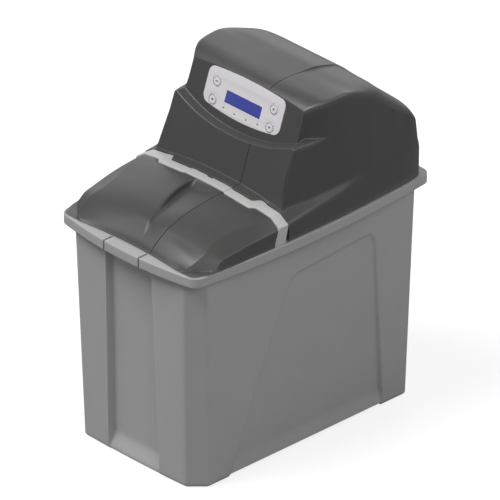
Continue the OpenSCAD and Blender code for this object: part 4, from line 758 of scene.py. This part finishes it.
def hood_surface():
    """The hood's outer grid, the column of its seam and how deep the seam is on each row."""
    sides = np.array([np.array(hood_side(s), float) for s in HOOD])
    gaps = [max(math.hypot(b[0] - a[0], b[1] - a[1]), math.hypot(b[2] - a[2], b[3] - a[3]))
            for a, b in zip(HOOD, HOOD[1:])]
    knots = np.concatenate([[0], np.cumsum(gaps)])
    breaks = (1, 3, 4, 6)
    at = np.unique(np.concatenate([spread(knots, 2.6)] + [knots[b] + np.array([-2.4, -1.2, 1.2, 2.4])
                                                          for b in breaks]))
    rows = curve(knots, HOOD, at, breaks)
    sides = curve(knots, sides, at, breaks)
    shares = spread([0, 1, 2, 3, 4, 5, 6], 1 / 6)
    grid, deep = [], []
    for k, (s, side) in enumerate(zip(rows, sides)):
        line = np.vstack([side, [s[4], s[3]]])
        line = curve(range(7), line, shares, (1, 2, 4, 5))[:-1]
        seam = seam_line(s[0])
        u = np.concatenate([np.linspace(-s[4], seam, LEFT_COLUMNS)[:-1],
                            np.linspace(seam, s[4], RIGHT_COLUMNS)])
        b = abs(u / s[4]) ** s[5]
        front = float(1 - step(at[k], 0, knots[1]))
        y = s[0] + (s[2] - s[0]) * b
        y = y * (1 - front) + (strap_rear(u) + 0.8) * front
        top = np.stack([u, y, TUB_H + s[1] + (s[3] - s[1]) * b], 1)
        flank = np.stack([line[:, 0], np.full(len(line), s[2]), TUB_H + np.maximum(line[:, 1], 0.2)], 1)
        drop = ROOF_STEP * float(step(s[0], 55, 100) * step(s[0], 216, 198))
        top[:, 2] -= drop * step(u, seam, seam + 3)
        right = flank - np.linspace(0, 1, len(flank))[:, None] ** 2 * (0, 0, drop)
        grid.append(np.concatenate([flank * (-1, 1, 1), top, right[::-1]]))
        deep.append(0.0 if knots[3] + 1 < at[k] < knots[6] + 1 else 1.0)
    return relax(np.array(grid), 2), FLANK_POINTS + LEFT_COLUMNS - 1, np.array(deep)


PANEL_AT = (Matrix.Translation((0, -3.12, 508.8))
            @ Matrix.Rotation(math.radians(90) - math.atan(PANEL_SLOPE), 4, "X"))
PANEL_HALF_X, PANEL_HALF_Y, PANEL_CORNER = 79, 32.25, 10


def panel_outline(grow):
    """The control panel's outline in its own plane."""
    points = []
    for sign in (1, -1):
        for a in np.radians(np.linspace(-90, 90, 61)) * sign:
            x = PANEL_HALF_X * math.sin(a)
            d = abs(x) - PANEL_HALF_X + PANEL_CORNER
            drop = PANEL_CORNER - math.sqrt(max(0, PANEL_CORNER**2 - d * d)) if d > 0 else 0
            bow = (4.2 if sign > 0 else 7.5) * (x / PANEL_HALF_X) ** 2
            points.append((x * (1 + grow / PANEL_HALF_X), sign * (PANEL_HALF_Y - bow - drop + grow)))
    return points


def plate(name, loops, low, high, bevel=0.0, at=PANEL_AT):
    """A flat plate from closed loops in a plane, the inner ones as holes, with rounded edges."""
    data = bpy.data.curves.new(name, "CURVE")
    data.dimensions, data.fill_mode = "2D", "BOTH"
    data.extrude = (high - low) / 2 * MM - bevel * MM
    data.bevel_depth, data.bevel_resolution, data.offset = bevel * MM, 3, -bevel * MM
    for loop in loops:
        line = data.splines.new("POLY")
        line.points.add(len(loop) - 1)
        for point, (x, y) in zip(line.points, loop):
            point.co = (x * MM, y * MM, 0, 1)
        line.use_cyclic_u = True
    obj = bpy.data.objects.new(name, data)
    scene.collection.objects.link(obj)
    bpy.context.view_layer.update()
    mesh = bpy.data.meshes.new_from_object(obj.evaluated_get(bpy.context.evaluated_depsgraph_get()))
    bpy.data.objects.remove(obj)
    made = bpy.data.objects.new(name, mesh)
    scene.collection.objects.link(made)
    shift = Matrix.Translation((0, 0, (low + high) / 2 * MM))
    scaled = at.copy()
    scaled.translation = at.translation * MM
    mesh.transform(scaled @ shift)
    return made


def disc(x, y, r, count=56):
    """A round loop."""
    return [(x + r * math.cos(2 * math.pi * i / count), y + r * math.sin(2 * math.pi * i / count))
            for i in range(count)]


def rounded(x, y, half_w, half_h, r, count=7):
    """A rectangular loop with rounded corners."""
    points = []
    for q, (sx, sy) in enumerate(((1, 1), (-1, 1), (-1, -1), (1, -1))):
        for i in range(count):
            a = math.radians(q * 90 + 90 * i / (count - 1))
            points.append((x + sx * (half_w - r) + r * math.cos(a), y + sy * (half_h - r) + r * math.sin(a)))
    return points


KEYS = {"upper_left": (-59, 9.2), "lower_left": (-59, -18.6),
        "upper_right": (59, 9.2), "lower_right": (59, -18.6)}
RING_OUTER, RING_INNER, RING_DASHES, DASH_HALF = 7.3, 6.1, 14, 0.145


def make_hood():
    """The hood in one skin: its surface and seam, the openings, the wall, the panel's recess and posts."""
    grid, seam, deep = hood_surface()
    grid = groove(grid, seam, deep)
    rows, columns = grid.shape[:2]
    hood = new_piece("valve_hood_skin", grid, quads(rows, columns))
    bm = bmesh.new()
    bm.from_mesh(hood.data)
    for left, right, top in NOTCHES:
        for place_at, direction in (((left, 0, 0), (1, 0, 0)), ((right, 0, 0), (1, 0, 0)),
                                    ((0, 0, top), (0, 0, 1))):
            near = [f for f in bm.faces if f.calc_center_median().y > 0.15]
            around = list({v for f in near for v in f.verts})
            around += list({e for f in near for e in f.edges}) + near
            bmesh.ops.bisect_plane(bm, geom=around, plane_co=Vector(place_at) * MM, plane_no=direction)
        middles = {f: f.calc_center_median() / MM for f in bm.faces}
        gone = [f for f, c in middles.items() if left < c.x < right and c.z < top and c.y > 150]
        bmesh.ops.delete(bm, geom=gone, context="FACES")
    bm.to_mesh(hood.data)
    bm.free()
    change = hood.modifiers.new("wall", "SOLIDIFY")
    change.thickness, change.offset, change.use_even_offset = 2.5 * MM, -1, False
    apply_modifiers(hood)
    recess = plate("recess", [panel_outline(0.3)], -1.4, 9)
    window = block((-33, -11.9, -20), (33, 1.1, 9), PANEL_AT)
    holes = [turned([(2.8, -20), (2.8, 9)], PANEL_AT @ Matrix.Translation((x, v, 0)), 24)
             for x, v in KEYS.values()]
    for cutter in (recess, window, *holes):
        cut(hood, cutter)
    posts = [turned([(4.2, -4), (3.5, -5.5), (3.5, -12.4), (1.2, -12.4), (1.2, -6)],
                    PANEL_AT @ Matrix.Translation((sx * 70, sy * 20, 0)), 24)
             for sx in (-1, 1) for sy in (-1, 1)]
    join(hood, *posts)
    place(tidy(hood, 50), "valve_hood")
    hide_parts("hood_flank_left", "hood_flank_right")


# Control panel


def make_panel():
    """The panel, the display's window, the four keys with their marks and the row of small marks."""
    holes = [disc(x, v, 8.5) for x, v in KEYS.values()] + [rounded(0, -5.4, 36.3, 9.3, 0.6)]
    panel = plate("control_panel_skin", [panel_outline(-0.25)] + holes, -1.4, 0.8, 0.25)
    place(tidy(panel, 40), "control_panel")
    window = plate("display_window_skin", [rounded(0, -5.4, 36, 9, 0.5)], -1.4, 0.5, 0.15)
    place(tidy(window, 40), "display_window")
    for name, (x, v) in KEYS.items():
        profile = [(2.5, -6.95), (2.5, -0.3), (7.8, -0.3), (8.1, 0.1), (8.2, 0.6), (8.1, 1.0), (7.8, 1.25),
                   (7.2, 1.36), (4.0, 1.40)]
        key = turned(profile, PANEL_AT @ Matrix.Translation((x, v, 0)), 72)
        place(tidy(key, 40), "key_" + name)
        dashes = []
        for i in range(RING_DASHES):
            a = 2 * math.pi * (i + 0.5) / RING_DASHES
            arc = [a + t * DASH_HALF for t in (-1, -0.5, 0, 0.5, 1)]
            loop = [(x + RING_OUTER * math.cos(t), v + RING_OUTER * math.sin(t)) for t in arc]
            loop += [(x + RING_INNER * math.cos(t), v + RING_INNER * math.sin(t)) for t in arc[::-1]]
            dashes.append(loop)
        dashes.append(symbol(name, x, v))
        ring_marks = plate("key_%s_marks" % name, dashes, 1.2, 1.46)
        place(tidy(ring_marks), body="key_%s_body" % name, slot="key", material="mark")
    small = [rounded(x, -24.6 + 2.2 * (x / 35) ** 2, 1.5, 0.9, 0.3) for x in (-35, -12, 12, 35)]
    place(tidy(plate("panel_marks", small, 0.6, 0.86)), body="hood", slot="panel", material="mark")


def symbol(name, x, v):
    """A generic sign in the middle of a key: an arrow up, an arrow down, a bar or a square."""
    if name == "upper_right":
        return [(x - 2.6, v - 1.6), (x + 2.6, v - 1.6), (x, v + 2.4)]
    if name == "lower_right":
        return [(x - 2.6, v + 1.6), (x, v - 2.4), (x + 2.6, v + 1.6)]
    if name == "upper_left":
        return rounded(x, v, 2.6, 0.7, 0.3)
    return rounded(x, v, 1.7, 1.7, 0.4)


# Strap


def make_strap():
    """The strap over the covers, as rounded sections along its run from the right rim to the left."""
    crown = [(x, STRAP_TOP - STRAP_CROWN * (x / STRAP_KNEE_X) ** 2) for x in np.linspace(131, 0, 14)]
    line = np.array([(STRAP_SIDE_X, z) for z in (360, 377, 387.6)] + crown, float)
    run = np.concatenate([[0], np.cumsum(np.hypot(*np.diff(line, axis=0).T))])
    half = curve(run, line, spread(run, 1.0), (2, 3))
    full = np.vstack([half, half[-2::-1] * (-1, 1)])
    for _ in range(3):
        full[1:-1] = 0.5 * full[1:-1] + 0.25 * (full[:-2] + full[2:])
    tangent = np.gradient(full, axis=0)
    normal = np.stack([-tangent[:, 1], tangent[:, 0]], 1) * -1
    normal /= np.linalg.norm(normal, axis=1, keepdims=True)
    rings = []
    for (x, z), n in zip(full, normal):
        down = float(step(z, 391, 360))
        top = 1 - float(step(z, 398, 388)) if abs(x) > 140 else 1.0
        front = float(strap_front(x)) - down * 9.2
        rear = float(strap_rear(x)) - down * 5.2
        r = EDGE_ROUND
        loop = [(front, -4.5), (front, -r)]
        loop += [(front + r - r * math.cos(a), -r + r * math.sin(a)) for a in np.radians([30, 60, 90])]
        loop += [(front + (rear - front) * t, 0.35 * math.sin(math.pi * t) * top) for t in (0.3, 0.5, 0.7)]
        loop += [(rear - r + r * math.sin(a), -r + r * math.cos(a)) for a in np.radians([0, 30, 60])]
        loop += [(rear, -r), (rear, -4.5)]
        rings.append([(x + n[0] * h, y, z + n[1] * h) for y, h in loop])
    rings = np.array(rings)
    rings[:, :, 2] = np.maximum(rings[:, :, 2], 360.0)
    count = rings.shape[1]
    faces = quads(len(rings), count, closed=True)
    faces += [tuple(range(count))[::-1], tuple(range((len(rings) - 1) * count, len(rings) * count))]
    strap = new_piece("hinge_strap_skin", rings, faces)
    cut(strap, block((SEAM_X - 0.4, -90, 406.2), (SEAM_X + 0.4, -60, 410)))
    parts = []
    for sx in (-1, 1):
        ear = Matrix.Translation((sx * HINGE_X, 0, 0))
        parts.append(turned([(2.4, -4), (2.7, -3.6), (2.7, 3.6), (2.4, 4)], ear @ Matrix.Translation(
            (0, HINGE_Y, HINGE_Z)) @ Matrix.Rotation(math.radians(90), 4, "Y"), 32))
        parts.append(block((-4, HINGE_Y - 1.4, 391.9), (4, HINGE_Y + 1.4, 400.4), ear))
        parts.append(block((-4, HINGE_Y - 1.4, 391.9), (4, -79.3, 394.9), ear))
        parts.append(block((-4, -82.9, 391.9), (4, -79.3, 402.5), ear))
        parts.append(block((sx * 139 - 7, -76.9, 360), (sx * 139 + 7, -64.9, 364)))
    join(strap, *parts)
    return place(tidy(strap, 45), "hinge_strap")


make_tub()
make_lid()
make_hood()
make_panel()
make_strap()
